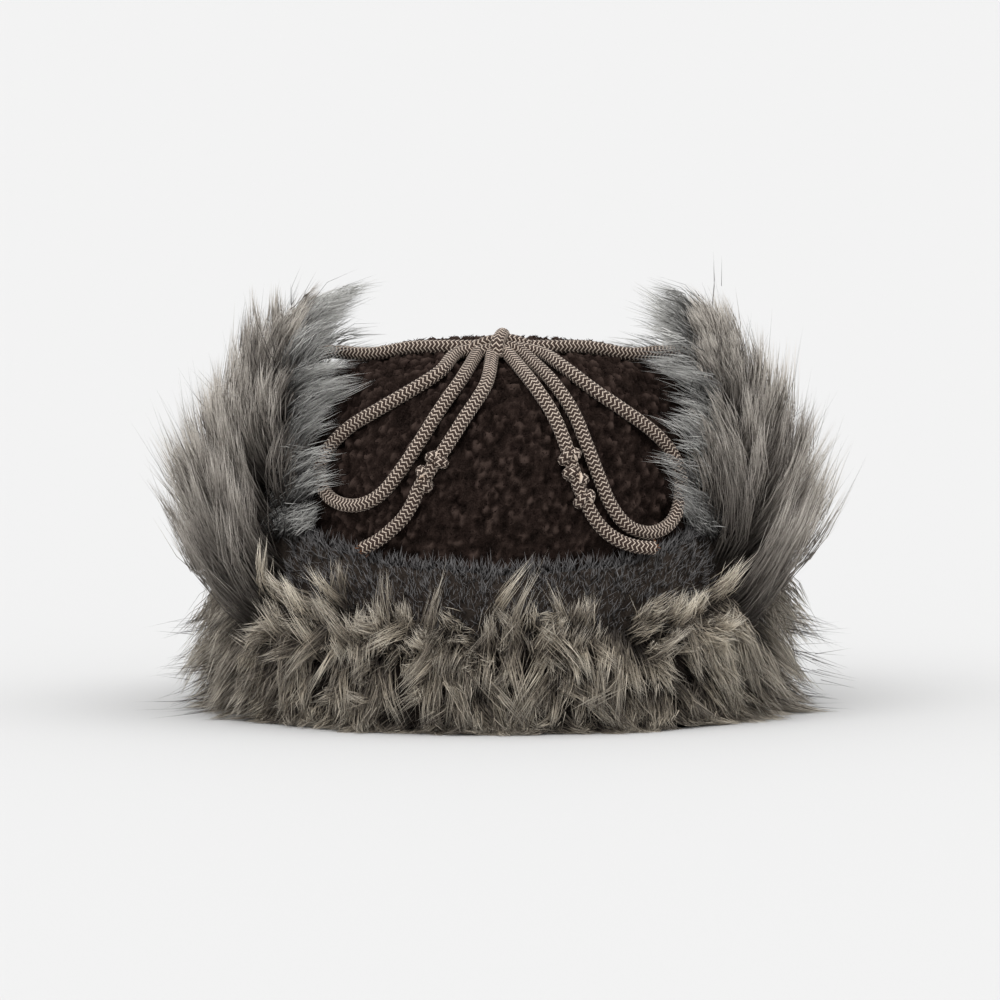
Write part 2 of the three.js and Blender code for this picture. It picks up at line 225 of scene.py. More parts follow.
class MaterialNodes:
    """A new material and the few kinds of nodes that the finishes use."""

    def __init__(self, name: str, roughness: float, shine: float, sheen: float = 0.0) -> None:
        """Starts a material.

        Args:
            name: Name of the finish.
            roughness: Roughness all over.
            shine: Specular level all over.
            sheen: Strength of the soft light at grazing angles.
        """
        self.material = bpy.data.materials.new(name)
        self.material.use_nodes = True
        self.tree = self.material.node_tree
        self.surface = self.tree.nodes["Principled BSDF"]
        self.surface.inputs["Roughness"].default_value = roughness
        self.surface.inputs["Specular IOR Level"].default_value = shine
        self.surface.inputs["Sheen Weight"].default_value = sheen
        self.surface.inputs["Sheen Roughness"].default_value = 0.6

    def link(self, source: bpy.types.NodeSocket, target: bpy.types.NodeSocket) -> None:
        """Joins two sockets."""
        self.tree.links.new(source, target)

    def value(self, name: str) -> bpy.types.NodeSocket:
        """Reads a value stored at the corners."""
        node = self.tree.nodes.new("ShaderNodeAttribute")
        node.attribute_name = name
        return node.outputs["Fac"]

    def ramp(
        self, driver: bpy.types.NodeSocket, stops: tuple[tuple[float, Colour], ...]
    ) -> bpy.types.NodeSocket:
        """Turns a value into a colour.

        Args:
            driver: The value, from 0 to 1.
            stops: Places on the ramp and their colours.

        Returns:
            The colour's socket.
        """
        node = self.tree.nodes.new("ShaderNodeValToRGB")
        elements = node.color_ramp.elements
        while len(elements) < len(stops):
            elements.new(0.5)
        for element, (place, colour) in zip(elements, stops):
            element.position = place
            element.color = colour
        self.link(driver, node.inputs["Fac"])
        return node.outputs["Color"]

    def sum(
        self, operation: str, first: bpy.types.NodeSocket, second: bpy.types.NodeSocket | float = 0.0
    ) -> bpy.types.NodeSocket:
        """Works out one step of arithmetic.

        Args:
            operation: Name of the step.
            first: First value.
            second: Second value, or a fixed number.

        Returns:
            The result's socket.
        """
        node = self.tree.nodes.new("ShaderNodeMath")
        node.operation = operation
        self.link(first, node.inputs[0])
        if isinstance(second, (int, float)):
            node.inputs[1].default_value = second
        else:
            self.link(second, node.inputs[1])
        return node.outputs[0]

    def noise(self, scale: float, detail: float) -> bpy.types.NodeSocket:
        """A soft random value over the piece.

        Args:
            scale: Number of waves in a metre.
            detail: Number of finer layers.

        Returns:
            The value's socket.
        """
        place = self.tree.nodes.new("ShaderNodeTexCoord")
        node = self.tree.nodes.new("ShaderNodeTexNoise")
        node.inputs["Scale"].default_value = scale
        node.inputs["Detail"].default_value = detail
        self.link(place.outputs["Object"], node.inputs["Vector"])
        return node.outputs["Fac"]

    def blend(
        self, share: bpy.types.NodeSocket, first: bpy.types.NodeSocket, second: bpy.types.NodeSocket
    ) -> bpy.types.NodeSocket:
        """Goes from one colour to another.

        Args:
            share: Share of the second colour.
            first: First colour.
            second: Second colour.

        Returns:
            The mixed colour's socket.
        """
        node = self.tree.nodes.new("ShaderNodeMix")
        node.data_type = "RGBA"
        self.link(share, node.inputs["Factor"])
        self.link(first, node.inputs["A"])
        self.link(second, node.inputs["B"])
        return node.outputs["Result"]

    def dress(
        self, colour: bpy.types.NodeSocket, relief: bpy.types.NodeSocket, depth: float
    ) -> bpy.types.Material:
        """Puts colour and fine relief on the surface.

        Args:
            colour: The base colour's socket.
            relief: Height of the relief.
            depth: Depth of the relief in metres.

        Returns:
            The finished material.
        """
        self.link(colour, self.surface.inputs["Base Color"])
        bump = self.tree.nodes.new("ShaderNodeBump")
        bump.inputs["Distance"].default_value = depth
        bump.inputs["Strength"].default_value = 0.6
        self.link(relief, bump.inputs["Height"])
        self.link(bump.outputs["Normal"], self.surface.inputs["Normal"])
        return self.material


@dataclass(frozen=True)
class FurFinish:
    """Strands that go from a dark root to a pale tip, some darker and some paler than others."""

    name: str
    root: Colour
    dark: Colour
    dark_tip: Colour
    pale: Colour
    pale_tip: Colour
    roughness: float = 0.55
    shine: float = 0.28

    def material(self) -> bpy.types.Material:
        """Makes the material."""
        nodes = MaterialNodes(self.name, self.roughness, self.shine)
        along = nodes.value(ALONG)
        deep = nodes.ramp(along, ((0.0, self.root), (0.45, self.dark), (1.0, self.dark_tip)))
        stops = ((0.0, self.root), (0.32, self.dark), (0.6, self.pale), (1.0, self.pale_tip))
        light = nodes.ramp(along, stops)
        nodes.link(nodes.blend(nodes.value(TINT), deep, light), nodes.surface.inputs["Base Color"])
        return nodes.material


@dataclass(frozen=True)
class FleeceFinish:
    """Curly pile, with painted shade in the crown's hollows, painted light on its curl tops and random fibre
    tone.
    """

    name: str
    # hollow is the painted shade colour and top the painted light colour, where the stored value is the
    # pile's height.
    hollow: Colour
    middle: Colour
    top: Colour

    def material(self) -> bpy.types.Material:
        """Makes the material."""
        nodes = MaterialNodes(self.name, roughness=1.0, shine=0.0)
        fibre = nodes.noise(1500.0, 2.0)
        # Where the stored value is the pile's height, this ramp paints shade into the hollows and light onto
        # the curl tops.
        curl = nodes.ramp(nodes.value(ALONG), ((0.0, self.hollow), (0.55, self.middle), (1.0, self.top)))
        fuzz = nodes.ramp(fibre, ((0.3, self.hollow), (0.7, self.top)))
        share = nodes.sum("MULTIPLY", nodes.value(TINT), 0.45)
        return nodes.dress(nodes.blend(share, curl, fuzz), fibre, 0.0006)


@dataclass(frozen=True)
class CordFinish:
    """Braided yarns, every other one pale, that pass over and under two at a time, with painted shade in the
    valleys between them.
    """

    name: str
    # The valley colours are painted shade, where the yarns dip between their neighbours.
    valley_shade: Colour
    yarn: Colour
    pale_valley_shade: Colour
    pale_yarn: Colour

    def material(self) -> bpy.types.Material:
        """Makes the material.

        Returns:
            The material, which reads the cord's own map of turns and cells.
        """
        nodes = MaterialNodes(self.name, 0.72, 0.25, 0.05)
        place = nodes.tree.nodes.new("ShaderNodeUVMap")
        place.uv_map = BRAID_MAP
        split = nodes.tree.nodes.new("ShaderNodeSeparateXYZ")
        nodes.link(place.outputs["UV"], split.inputs["Vector"])
        turn, travel = split.outputs["X"], split.outputs["Y"]
        right, left = nodes.sum("ADD", turn, travel), nodes.sum("SUBTRACT", turn, travel)
        crossing = nodes.sum("ADD", nodes.sum("FLOOR", right), nodes.sum("FLOOR", left))
        over = nodes.sum("LESS_THAN", nodes.sum("FLOORED_MODULO", crossing, 4.0), 1.5)
        top = nodes.sum("ADD", left, nodes.sum("MULTIPLY", over, nodes.sum("SUBTRACT", right, left)))
        pale = nodes.sum("LESS_THAN", nodes.sum("FLOORED_MODULO", nodes.sum("FLOOR", top), 2.0), 0.5)
        edge = nodes.sum("ABSOLUTE", nodes.sum("SUBTRACT", nodes.sum("FRACT", top), 0.5))
        height = nodes.sum("SUBTRACT", nodes.sum("MULTIPLY", edge, -2.0), -1.0)
        # Both ramps darken each yarn towards its edges: painted shade in the valleys of the braid.
        dark = nodes.ramp(height, ((0.0, self.valley_shade), (0.7, self.yarn)))
        light = nodes.ramp(height, ((0.3, self.pale_valley_shade), (0.8, self.pale_yarn)))
        return nodes.dress(nodes.blend(pale, dark, light), height, 0.0005)


FRONT_FUR = FurFinish(
    "front_fur",
    root=shade(20, 17, 15),
    dark=shade(72, 65, 59),
    dark_tip=shade(112, 103, 94),
    pale=shade(188, 176, 157),
    pale_tip=shade(252, 243, 226),
)
SIDE_FUR = FurFinish(
    "side_fur",
    root=shade(36, 32, 29),
    dark=shade(88, 81, 74),
    dark_tip=shade(126, 117, 108),
    pale=shade(186, 176, 161),
    pale_tip=shade(246, 238, 223),
)
GUARD_HAIR = FurFinish(
    "guard_hair",
    root=shade(70, 64, 59),
    dark=shade(52, 47, 44),
    dark_tip=shade(34, 31, 30),
    pale=shade(96, 89, 83),
    pale_tip=shade(60, 55, 52),
)
EAR_FUR = FurFinish(
    "ear_fur",
    root=shade(50, 46, 43),
    dark=shade(100, 94, 88),
    dark_tip=shade(134, 127, 120),
    pale=shade(172, 165, 156),
    pale_tip=shade(230, 223, 213),
)
LINING_FUR = FurFinish(
    "lining_fur",
    root=shade(36, 35, 34),
    dark=shade(90, 89, 87),
    dark_tip=shade(128, 127, 124),
    pale=shade(200, 199, 195),
    pale_tip=shade(250, 249, 245),
)
PLUSH = FurFinish(
    "slate_plush",
    root=shade(34, 32, 32),
    dark=shade(84, 82, 82),
    dark_tip=shade(110, 108, 108),
    pale=shade(122, 120, 120),
    pale_tip=shade(164, 162, 161),
)
FRAY = FurFinish(
    "frayed_end",
    root=shade(40, 26, 18),
    dark=shade(96, 58, 34),
    dark_tip=shade(130, 80, 46),
    pale=shade(150, 98, 60),
    pale_tip=shade(176, 124, 84),
)
# FLEECE's first colour is painted shade for the crown's hollows, and its last is painted light for the curl
# tops.
FLEECE = FleeceFinish("brown_fleece", shade(9, 6, 5), shade(34, 26, 23), shade(72, 60, 55))
UNDERFUR = FleeceFinish("underfur", shade(24, 20, 18), shade(52, 46, 42), shade(88, 80, 73))
# BRAID's valley colours are painted shade in the gaps between the yarns.
BRAID = CordFinish(
    "braided_cord",
    valley_shade=shade(14, 9, 7),
    yarn=shade(66, 48, 39),
    pale_valley_shade=shade(58, 42, 34),
    pale_yarn=shade(226, 209, 192),
)


@dataclass(frozen=True)
class CrownForm:
    """The crown's outer skin, a flat-topped dome on an egg-shaped plan, in millimetres."""

    half_width: float = 97.0
    half_length: float = 104.0
    height: float = 161.0
    wall: float = 5.0
    plan_power: float = 2.3
    dome_power: float = 4.0

    def plan(self, x: Array, y: Array) -> Array:
        """How far out a place of the plan lies; 1 is the rim."""
        across, along = np.abs(x) / self.half_width, np.abs(y) / self.half_length
        return across**self.plan_power + along**self.plan_power

    def share(self, points: Array) -> Array:
        """How far out each point lies; 1 is the skin."""
        flat = self.plan(points[..., 0], points[..., 1]) ** (self.dome_power / self.plan_power)
        return (flat + (np.abs(points[..., 2]) / self.height) ** self.dome_power) ** (1 / self.dome_power)

    def outward(self, points: Array) -> Array:
        """Directions away from the skin.

        Args:
            points: Points near the skin.

        Returns:
            Unit vectors.
        """
        x, y, z = (points[..., axis] for axis in range(3))
        power, dome = self.plan_power, self.dome_power
        flat = np.maximum(self.plan(x, y), 1e-9) ** (dome / power - 1)
        return unit(
            np.stack(
                [
                    flat * np.sign(x) * np.abs(x) ** (power - 1) / self.half_width**power,
                    flat * np.sign(y) * np.abs(y) ** (power - 1) / self.half_length**power,
                    np.sign(z) * np.abs(z) ** (dome - 1) / self.height**dome,
                ],
                axis=-1,
            )
        )

    def plan_radius(self, around: Array) -> Array:
        """Distance from the middle to the rim, at angles in radians from the front centre."""
        return self.plan(np.sin(around), np.cos(around)) ** (-1 / self.plan_power)

    def seat(self, kind: Seat, first: float, second: float, third: float) -> Array:
        """Finds a route point of the cord.

        Args:
            kind: What the point lies on.
            first: Its place across.
            second: Its place from front to back on the top, or its height on the front.
            third: Its height where it is free, or else how far it stands off the skin.

        Returns:
            The point in millimetres.
        """
        if kind is Seat.FREE:
            return np.array([first, second, third])
        if kind is Seat.TOP:
            rest = 1 - self.plan(first, second) ** (self.dome_power / self.plan_power)
            point = np.array([first, second, self.height * rest ** (1 / self.dome_power)])
        else:
            rest = (1 - (second / self.height) ** self.dome_power) ** (self.plan_power / self.dome_power)
            depth = (rest - (abs(first) / self.half_width) ** self.plan_power) ** (1 / self.plan_power)
            point = np.array([first, -self.half_length * depth, second])
        return point + self.outward(point) * third

    def keep_off(self, points: Array, clearance: float) -> Array:
        """Moves points that lie in the crown out to just off its skin.

        Args:
            points: Points in millimetres.
            clearance: Smallest share of the dome that is kept.

        Returns:
            The points, all outside.
        """
        share = self.share(points)[..., None]
        return np.where(share < clearance, points * (clearance / np.maximum(share, 0.05)), points)


@dataclass(frozen=True)
class HatPlace:
    """Where the hat's own middle lies in the row frame, in metres."""

    x: float
    y: float

    @classmethod
    def of_crown(cls) -> "HatPlace":
        """Reads the place from the crown's solid, whose box is even about the middle."""
        low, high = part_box("crown")
        return cls((low[0] + high[0]) / 2, (low[1] + high[1]) / 2)

    def metres(self, points: Array) -> Array:
        """Points of the hat, in millimetres, as points of the row frame."""
        return points * MM + np.array([self.x, self.y, 0.0])


@dataclass(frozen=True)
class LockRow:
    """One row of fur locks across a flap."""

    up: float
    count: int
    heading: float
    fan: float
    spread: float
    lift: float
    length: float


@dataclass
class LockSet:
    """The middle lines of a flap's locks: roots, bends and tips."""

    root: Array
    bend: Array
    tip: Array


@dataclass(frozen=True)
class FlapForm:
    """A turned-up flap: its wall round the crown and the locks of fur on it, in millimetres."""

    name: str
    seed: int
    start: float
    end: float
    edge: Table
    thickness: float
    lean_in: float
    rows: tuple[LockRow, ...]
    crown: CrownForm

    def edge_height(self, across: Array) -> Array:
        """Height of the flap's free edge."""
        return read(self.edge, across)

    def point(self, across: Array, up: Array, out: Array) -> Array:
        """Finds points of the flap's wall.

        Args:
            across: Share of the way from its first end to its last.
            up: Share of the way from the rim to the free edge.
            out: Share of the way from its crown side to its fur side.

        Returns:
            Points in millimetres.
        """
        around = np.radians(self.start + (self.end - self.start) * across)
        height = up * self.edge_height(across)
        radius = self.crown.plan_radius(around) + SEAM_GAP - self.lean_in * (height / self.crown.height) ** 2
        radius = radius + out * self.thickness * (1 - 0.55 * np.clip(up, 0, None) ** 4)
        return np.stack([radius * np.sin(around), -radius * np.cos(around), height], axis=-1)

    def axes(self, across: Array, up: Array) -> tuple[Array, Array, Array]:
        """Directions on the fur side of the wall.

        Args:
            across: Shares across.
            up: Shares up.

        Returns:
            Up the wall, towards its first end, and away from it.
        """
        step = 0.01
        rise = unit(self.point(across, up + step, 0.85) - self.point(across, up - step, 0.85))
        side = self.point(across - step, up, 0.85) - self.point(across + step, up, 0.85)
        side[..., 2] = 0
        side = unit(side)
        out = np.cross(side, rise)
        place = self.point(across, up, 0.85)
        inward = np.sum(out[..., :2] * place[..., :2], axis=-1, keepdims=True) < 0
        return rise, side, unit(np.where(inward, -out, out))

    def lock_lines(self) -> LockSet:
        """Lays the middle line of each lock, as the part's source does.

        Returns:
            The flap's locks.
        """
        table: list[tuple[float, ...]] = []
        for rank, row in enumerate(self.rows):
            shift = 0.35 if rank % 2 else 0.5
            for index in range(row.count):
                seed = self.seed + 17 * rank + index
                across = (index + shift + 0.2 * float(wobble(seed))) / row.count
                heading = row.heading + row.fan * (2 * across - 1) + row.spread * float(wobble(seed + 0.3))
                length = row.length * (1 + 0.16 * float(wobble(seed + 0.6)))
                table.append((across, row.up, heading, row.lift, length))
        across, up, heading, lift, length = np.array(table).T
        rise, side, out = self.axes(across, up)
        turn = np.radians(heading)[:, None]
        course = rise * np.cos(turn) + side * np.sin(turn)
        root = self.point(across, up, 0.85)

        def reach(angle: Array, share: float) -> Array:
            """A point of each lock at that lift and share of its length."""
            slope = np.radians(angle)[:, None]
            return root + share * length[:, None] * (course * np.cos(slope) + out * np.sin(slope))

        return LockSet(reach(np.full_like(lift, 90.0), -0.12), reach(lift + 28, 0.5), reach(lift, 1.0))


FRONT_EDGE = ((0.0, 82.0), (0.25, 72.0), (0.5, 68.0), (0.75, 71.0), (1.0, 82.0))
EAR_EDGE = ((0.0, 96.0), (0.12, 136.0), (0.3, 160.0), (0.5, 166.0), (0.7, 158.0), (0.88, 128.0), (1.0, 92.0))
NECK_EDGE = ((0.0, 88.0), (0.5, 80.0), (1.0, 88.0))
FRONT_ROWS = (
    LockRow(0.16, 9, 180, 30, 14, 24, 34),
    LockRow(0.36, 9, 180, 30, 26, 28, 38),
    LockRow(0.58, 9, 180, 36, 30, 36, 35),
    LockRow(0.66, 8, 0, -24, 22, 54, 24),
)
NECK_ROWS = (
    LockRow(0.14, 5, 180, 12, 14, 28, 36),
    LockRow(0.36, 5, 180, 12, 20, 34, 40),
    LockRow(0.62, 5, 0, -12, 16, 38, 40),
)


@dataclass
class MeshArrays:
    """Points, faces and two values at each point, ready to be joined into one mesh."""

    points: Array
    faces: Array
    along: Array
    tint: Array

    @staticmethod
    def piece(name: str, parts: list["MeshArrays"], place: HatPlace) -> bpy.types.Object:
        """Joins parts into one piece.

        Args:
            name: Name of the piece.
            parts: What is joined.
            place: Where the hat lies.

        Returns:
            The piece, marked with its values.
        """
        starts = np.cumsum([0] + [len(part.points) for part in parts])
        faces = np.vstack([part.faces + start for part, start in zip(parts, starts)])
        piece = make_mesh(name, place.metres(np.vstack([part.points for part in parts])), [faces])
        along = np.concatenate([part.along for part in parts])
        tint = np.concatenate([part.tint for part in parts])
        paint(piece, along, tint)
        return piece


@dataclass
class Strands:
    """A crop of strands, each a bent line from root to tip, in millimetres."""

    root: Array
    bend: Array
    tip: Array
    radius: Array
    tint: Array
    low: Array
    high: Array

    def arrays(self, crown: CrownForm, rings: int, seed: int, clear: float = 1.025) -> MeshArrays:
        """Turns the strands into slim three-sided hairs.

        Args:
            crown: The crown that the strands stay clear of.
            rings: Rings of corners below each tip.
            seed: Seed of the waves in the strands.
            clear: Smallest share of the dome that the strands keep.

        Returns:
            The hairs' corners and faces.
        """
        rng = np.random.default_rng(seed)
        count = len(self.root)
        share = np.linspace(0, 1, rings + 1)[None, :, None]
        line = (
            (1 - share) ** 2 * self.root[:, None]
            + 2 * share * (1 - share) * self.bend[:, None]
            + share**2 * self.tip[:, None]
        )
        length = np.linalg.norm(self.tip - self.root, axis=1)[:, None, None]
        swing = unit(rng.normal(size=(count, 1, 3)))
        phase = rng.uniform(0, math.tau, size=(count, 1, 1))
        line = line + swing * share * 0.02 * length * np.sin(share * 7.5 + phase)
        line = press_floor(crown.keep_off(line, clear))
        course = unit(np.gradient(line, axis=1))
        first = unit(np.cross(course, unit(rng.normal(size=(count, 1, 3)))))
        second = np.cross(course, first)
        taper = (1 - 0.72 * share[:, :-1] ** 1.6) * self.radius[:, None, None]
        turns = np.radians([0.0, 120.0, 240.0])
        ring = (
            line[:, :-1, None]
            + first[:, :-1, None] * (np.cos(turns)[:, None] * taper[:, :, None])
            + second[:, :-1, None] * (np.sin(turns)[:, None] * taper[:, :, None])
        )
        points = np.concatenate([ring.reshape(count, rings * 3, 3), line[:, -1:]], axis=1)
        points[..., 2] = np.maximum(points[..., 2], 0.15)
        steps = np.concatenate([np.repeat(share[0, :-1, 0], 3), [1.0]])
        along = self.low[:, None] + (self.high - self.low)[:, None] * steps
        per = rings * 3 + 1
        sides = [
            face
            for step in range(rings - 1)
            for side in range(3)
            for face in (
                [3 * step + side, 3 * step + (side + 1) % 3, 3 * step + 3 + (side + 1) % 3],
                [3 * step + side, 3 * step + 3 + (side + 1) % 3, 3 * step + 3 + side],
            )
        ]
        ends = [[per - 4 + side, per - 4 + (side + 1) % 3, per - 1] for side in range(3)]
        corner = np.array([[0, 2, 1], *sides, *ends])
        faces = (np.arange(count)[:, None, None] * per + corner[None]).reshape(-1, 3)
        return MeshArrays(points.reshape(-1, 3), faces, along.ravel(), np.repeat(self.tint, per))


WILD_SHARE = 0.08
WILD_REACH = 3.0
GUARD_SHARE = 0.1
GUARD_REACH = 1.18
GUARD_TINT = 0.1


@dataclass
class Tufts:
    """The middle lines of a flap's small tufts, in millimetres, and how pale each is."""

    root: Array
    bend: Array
    tip: Array
    tint: Array

    def gathered(self, leaders: int, share: float) -> "Tufts":
        """Draws tufts together into bigger locks.

        Args:
            leaders: Number of locks.
            share: How far each tuft's tip goes towards its lock's.

        Returns:
            The gathered tufts.
        """
        gap = np.linalg.norm(self.root[:, None] - self.root[None, :leaders], axis=2)
        lead = gap.argmin(axis=1)
        aim = self.tip[lead] + 0.3 * (self.root - self.root[lead])
        middle = self.bend[lead] + 0.7 * (self.root - self.root[lead])
        return Tufts(
            self.root,
            self.bend + 0.6 * share * (middle - self.bend),
            self.tip + share * (aim - self.tip),
            0.5 * self.tint + 0.5 * self.tint[lead],
        )

    def strands(self, count: int, spread: float, radius: float, rng: np.random.Generator) -> Strands:
        """Grows full-length strands along each tuft.

        Args:
            count: Strands in each tuft.
            spread: Width of a tuft at its root.
            radius: Radius of a strand at its root.
            rng: The random source.

        Returns:
            The strands.
        """
        owner = np.repeat(np.arange(len(self.root)), count)
        total = len(owner)
        shift = rng.normal(scale=spread, size=(total, 3))
        wild = np.where(rng.uniform(size=(total, 1)) < WILD_SHARE, WILD_REACH, 1.0)
        reach = rng.uniform(0.75, 1.06, size=(total, 1))
        start = self.root[owner] + shift
        bend = self.bend[owner] + 0.75 * shift + wild * rng.normal(scale=1.0, size=(total, 3))
        end = self.tip[owner] + 0.32 * shift + wild * rng.normal(scale=1.4, size=(total, 3))
        guard = rng.uniform(size=total) < GUARD_SHARE
        reach = np.where(guard[:, None], GUARD_REACH * reach, reach)
        tint = np.clip(self.tint[owner] + rng.normal(scale=0.2, size=total), 0, 1)
        return Strands(
            root=start,
            bend=start + reach * (bend - start),
            tip=start + reach * (end - start),
            radius=radius * np.where(guard, 0.6, rng.uniform(0.75, 1.15, size=total)),
            tint=np.where(guard, GUARD_TINT, tint),
            low=np.zeros(total),
            high=np.where(guard, 0.35, 1.0),
        )

    def short_strands(
        self, count: int, spread: float, radius: float, rng: np.random.Generator
    ) -> Strands:
        """Lays short hairs along each tuft, from low on it to its tip.

        Args:
            count: Hairs on each tuft.
            spread: Width of a tuft at its root.
            radius: Radius of a hair at its root.
            rng: The random source.

        Returns:
            The hairs.
        """
        owner = np.repeat(np.arange(len(self.root)), count)
        total = len(owner)
        shift = rng.normal(scale=spread, size=(total, 3))
        start = rng.uniform(0.0, 0.72, size=(total, 1))
        stop = start + rng.uniform(0.26, 0.42, size=(total, 1))

        def on_tuft(share: Array) -> Array:
            """Points of the tufts at those shares of their length."""
            line = (1 - share) ** 2 * self.root[owner] + 2 * share * (1 - share) * self.bend[owner]
            return line + share**2 * self.tip[owner] + shift * (1 - 0.62 * share)

        root = on_tuft(start)
        tip = on_tuft(stop) + rng.normal(scale=1.1, size=(total, 3))
        return Strands(
            root=root,
            bend=(root + tip) / 2,
            tip=tip,
            radius=radius * rng.uniform(0.75, 1.2, size=total),
            tint=np.clip(self.tint[owner] + rng.normal(scale=0.22, size=total), 0, 1),
            low=start[:, 0],
            high=np.minimum(stop[:, 0] + 0.14, 1.0),
        )


def scatter(form: FlapForm, count: int, highest: float, rng: np.random.Generator) -> tuple[Array, Array]:
    """Picks where tufts grow, evenly over a flap's wall.

    Args:
        form: The flap.
        count: Number of tufts.
        highest: Share of the wall's height that is covered.
        rng: The random source.

    Returns:
        Places across and up.
    """
    tallest = max(height for _, height in form.edge)
    across = rng.uniform(0.0, 1.0, size=count * 3)
    keep = rng.uniform(0, tallest, size=len(across)) < form.edge_height(across)
    across = across[keep][:count]
    return across, rng.uniform(0.02, highest, size=len(across))


@dataclass(frozen=True)
class LockLay:
    """Rough fur that follows the locks of the flap's solid."""

    form: FlapForm
    count: int
    highest: float
    gather: float = 0.32
    pale: float = 0.56
    depth: Table = ((0, 20), (20, 27), (60, 30))

    def tufts(self, rng: np.random.Generator) -> Tufts:
        """Lays the tufts.

        Args:
            rng: The random source.

        Returns:
            The tufts.
        """
        locks = self.form.lock_lines()
        across, up = scatter(self.form, self.count, self.highest, rng)
        total = len(across)
        root = self.form.point(across, up, 0.8)
        gap = np.linalg.norm(root[:, None] - locks.root[None], axis=2)
        weight = np.exp(-(((gap - gap.min(axis=1, keepdims=True)) / 9.0) ** 2))
        level = rng.uniform(size=(total, 1)) * weight.sum(axis=1, keepdims=True)
        pick = (weight.cumsum(axis=1) > level).argmax(axis=1)
        scale = rng.uniform(0.72, 1.1, size=(total, 1))
        bend = root + scale * (locks.bend - locks.root)[pick] + rng.normal(scale=3.5, size=(total, 3))
        loose = root + scale * (locks.tip - locks.root)[pick]
        tip = loose + self.gather * (locks.tip[pick] - loose) + rng.normal(scale=8.0, size=(total, 3))
        height = np.clip(root[:, 2] / 50.0, 0, 1)
        tint = rng.normal(self.pale - 0.15 + 0.28 * height, 0.22)
        return Tufts(root, self.near(bend), self.near(tip), tint)

    def near(self, points: Array) -> Array:
        """Holds points back that stand too far off the crown.

        Args:
            points: Points in millimetres.

        Returns:
            The points, within the depth of the fur.
        """
        around = np.arctan2(points[:, 0], -points[:, 1])
        rim = self.form.crown.plan_radius(around)
        reach = np.hypot(points[:, 0], points[:, 1])
        most = rim + read(self.depth, points[:, 2])
        held = np.where(reach > most, most + 0.3 * (reach - most), reach)
        result = points.copy()
        result[:, :2] *= (held / reach)[:, None]
        return result


def comb(form: FlapForm, table: Array, share: Array | float) -> tuple[Array, Array, Array]:
    """Lays lines of fur on a flap from a table of how each one lies.

    Args:
        form: The flap.
        table: Columns across, up, heading, leave, arrive and length of each line.
        share: Depth of the roots in the flap's wall.

    Returns:
        Roots, bends and tips.
    """
    across, up, heading, leave, arrive, length = table
    rise, side, out = form.axes(across, up)
    root = form.point(across, up, share)
    turn = np.radians(heading)[:, None]
    course = rise * np.cos(turn) + side * np.sin(turn)

    def along(slope: Array) -> Array:
        """Half the length of each line, at that slope off the wall."""
        angle = np.radians(slope)[:, None]
        return 0.5 * length[:, None] * (course * np.cos(angle) + out * np.sin(angle))

    bend = root + along(leave)
    return root, bend, bend + along(arrive)


@dataclass(frozen=True)
class CombedLay:
    """Long fur of an ear flap, combed up its outside."""

    form: FlapForm
    count: int
    lowest: float = 0.27
    pale: float = 0.5
    ahead: Table = ((0.0, 20), (0.15, 9), (0.5, 2), (1.0, -16))
    leave: Table = ((0.3, 68), (0.5, 60), (0.8, 48), (1.0, 28))
    arrive: Table = ((0.3, 22), (0.5, 10), (0.8, -10), (1.0, -34))
    length: Table = ((0.3, 70), (0.5, 72), (0.7, 62), (0.85, 46), (1.0, 26))

    def tufts(self, rng: np.random.Generator) -> Tufts:
        """Lays the tufts.

        Args:
            rng: The random source.

        Returns:
            The tufts.
        """
        across, up = scatter(self.form, self.count, 1.0, rng)
        total = len(across)
        up = self.lowest + (1 - self.lowest) * up
        ripple = 10 * np.sin(across * 21 + up * 7 + self.form.seed)
        heading = read(self.ahead, across) + ripple + rng.normal(scale=9, size=total)
        leave = read(self.leave, up) + rng.normal(scale=6, size=total)
        arrive = read(self.arrive, up) + rng.normal(scale=9, size=total)
        length = read(self.length, up) * rng.uniform(0.78, 1.14, size=total)
        lines = comb(self.form, np.stack([across, up, heading, leave, arrive, length]), 0.8)
        tint = rng.normal(self.pale, 0.24, size=total) + 0.14 * np.sin(across * 34 + up * 5)
        return Tufts(*lines, tint).gathered(max(8, total // 6), 0.46)


@dataclass(frozen=True)
class SkirtLay:
    """Thick fur round the foot of an ear flap, that falls outwards and spreads on the floor."""

    form: FlapForm
    count: int
    highest: float = 0.42
    pale: float = 0.58
    leave: Table = ((0.0, 52), (0.2, 62), (0.42, 72))
    arrive: Table = ((0.0, 40), (0.2, 26), (0.42, 8))
    length: Table = ((0.0, 36), (0.2, 46), (0.42, 44))

    def tufts(self, rng: np.random.Generator) -> Tufts:
        """Lays the tufts.

        Args:
            rng: The random source.

        Returns:
            The tufts.
        """
        across, up = scatter(self.form, self.count, self.highest, rng)
        total = len(across)
        heading = 180 + rng.normal(scale=30, size=total)
        leave = read(self.leave, up) + rng.normal(scale=7, size=total)
        arrive = read(self.arrive, up) + rng.normal(scale=12, size=total)
        length = read(self.length, up) * rng.uniform(0.75, 1.2, size=total)
        lines = comb(self.form, np.stack([across, up, heading, leave, arrive, length]), 0.8)
        tufts = Tufts(*lines, rng.normal(self.pale, 0.24, size=total))
        return tufts.gathered(max(8, total // 4), 0.4)


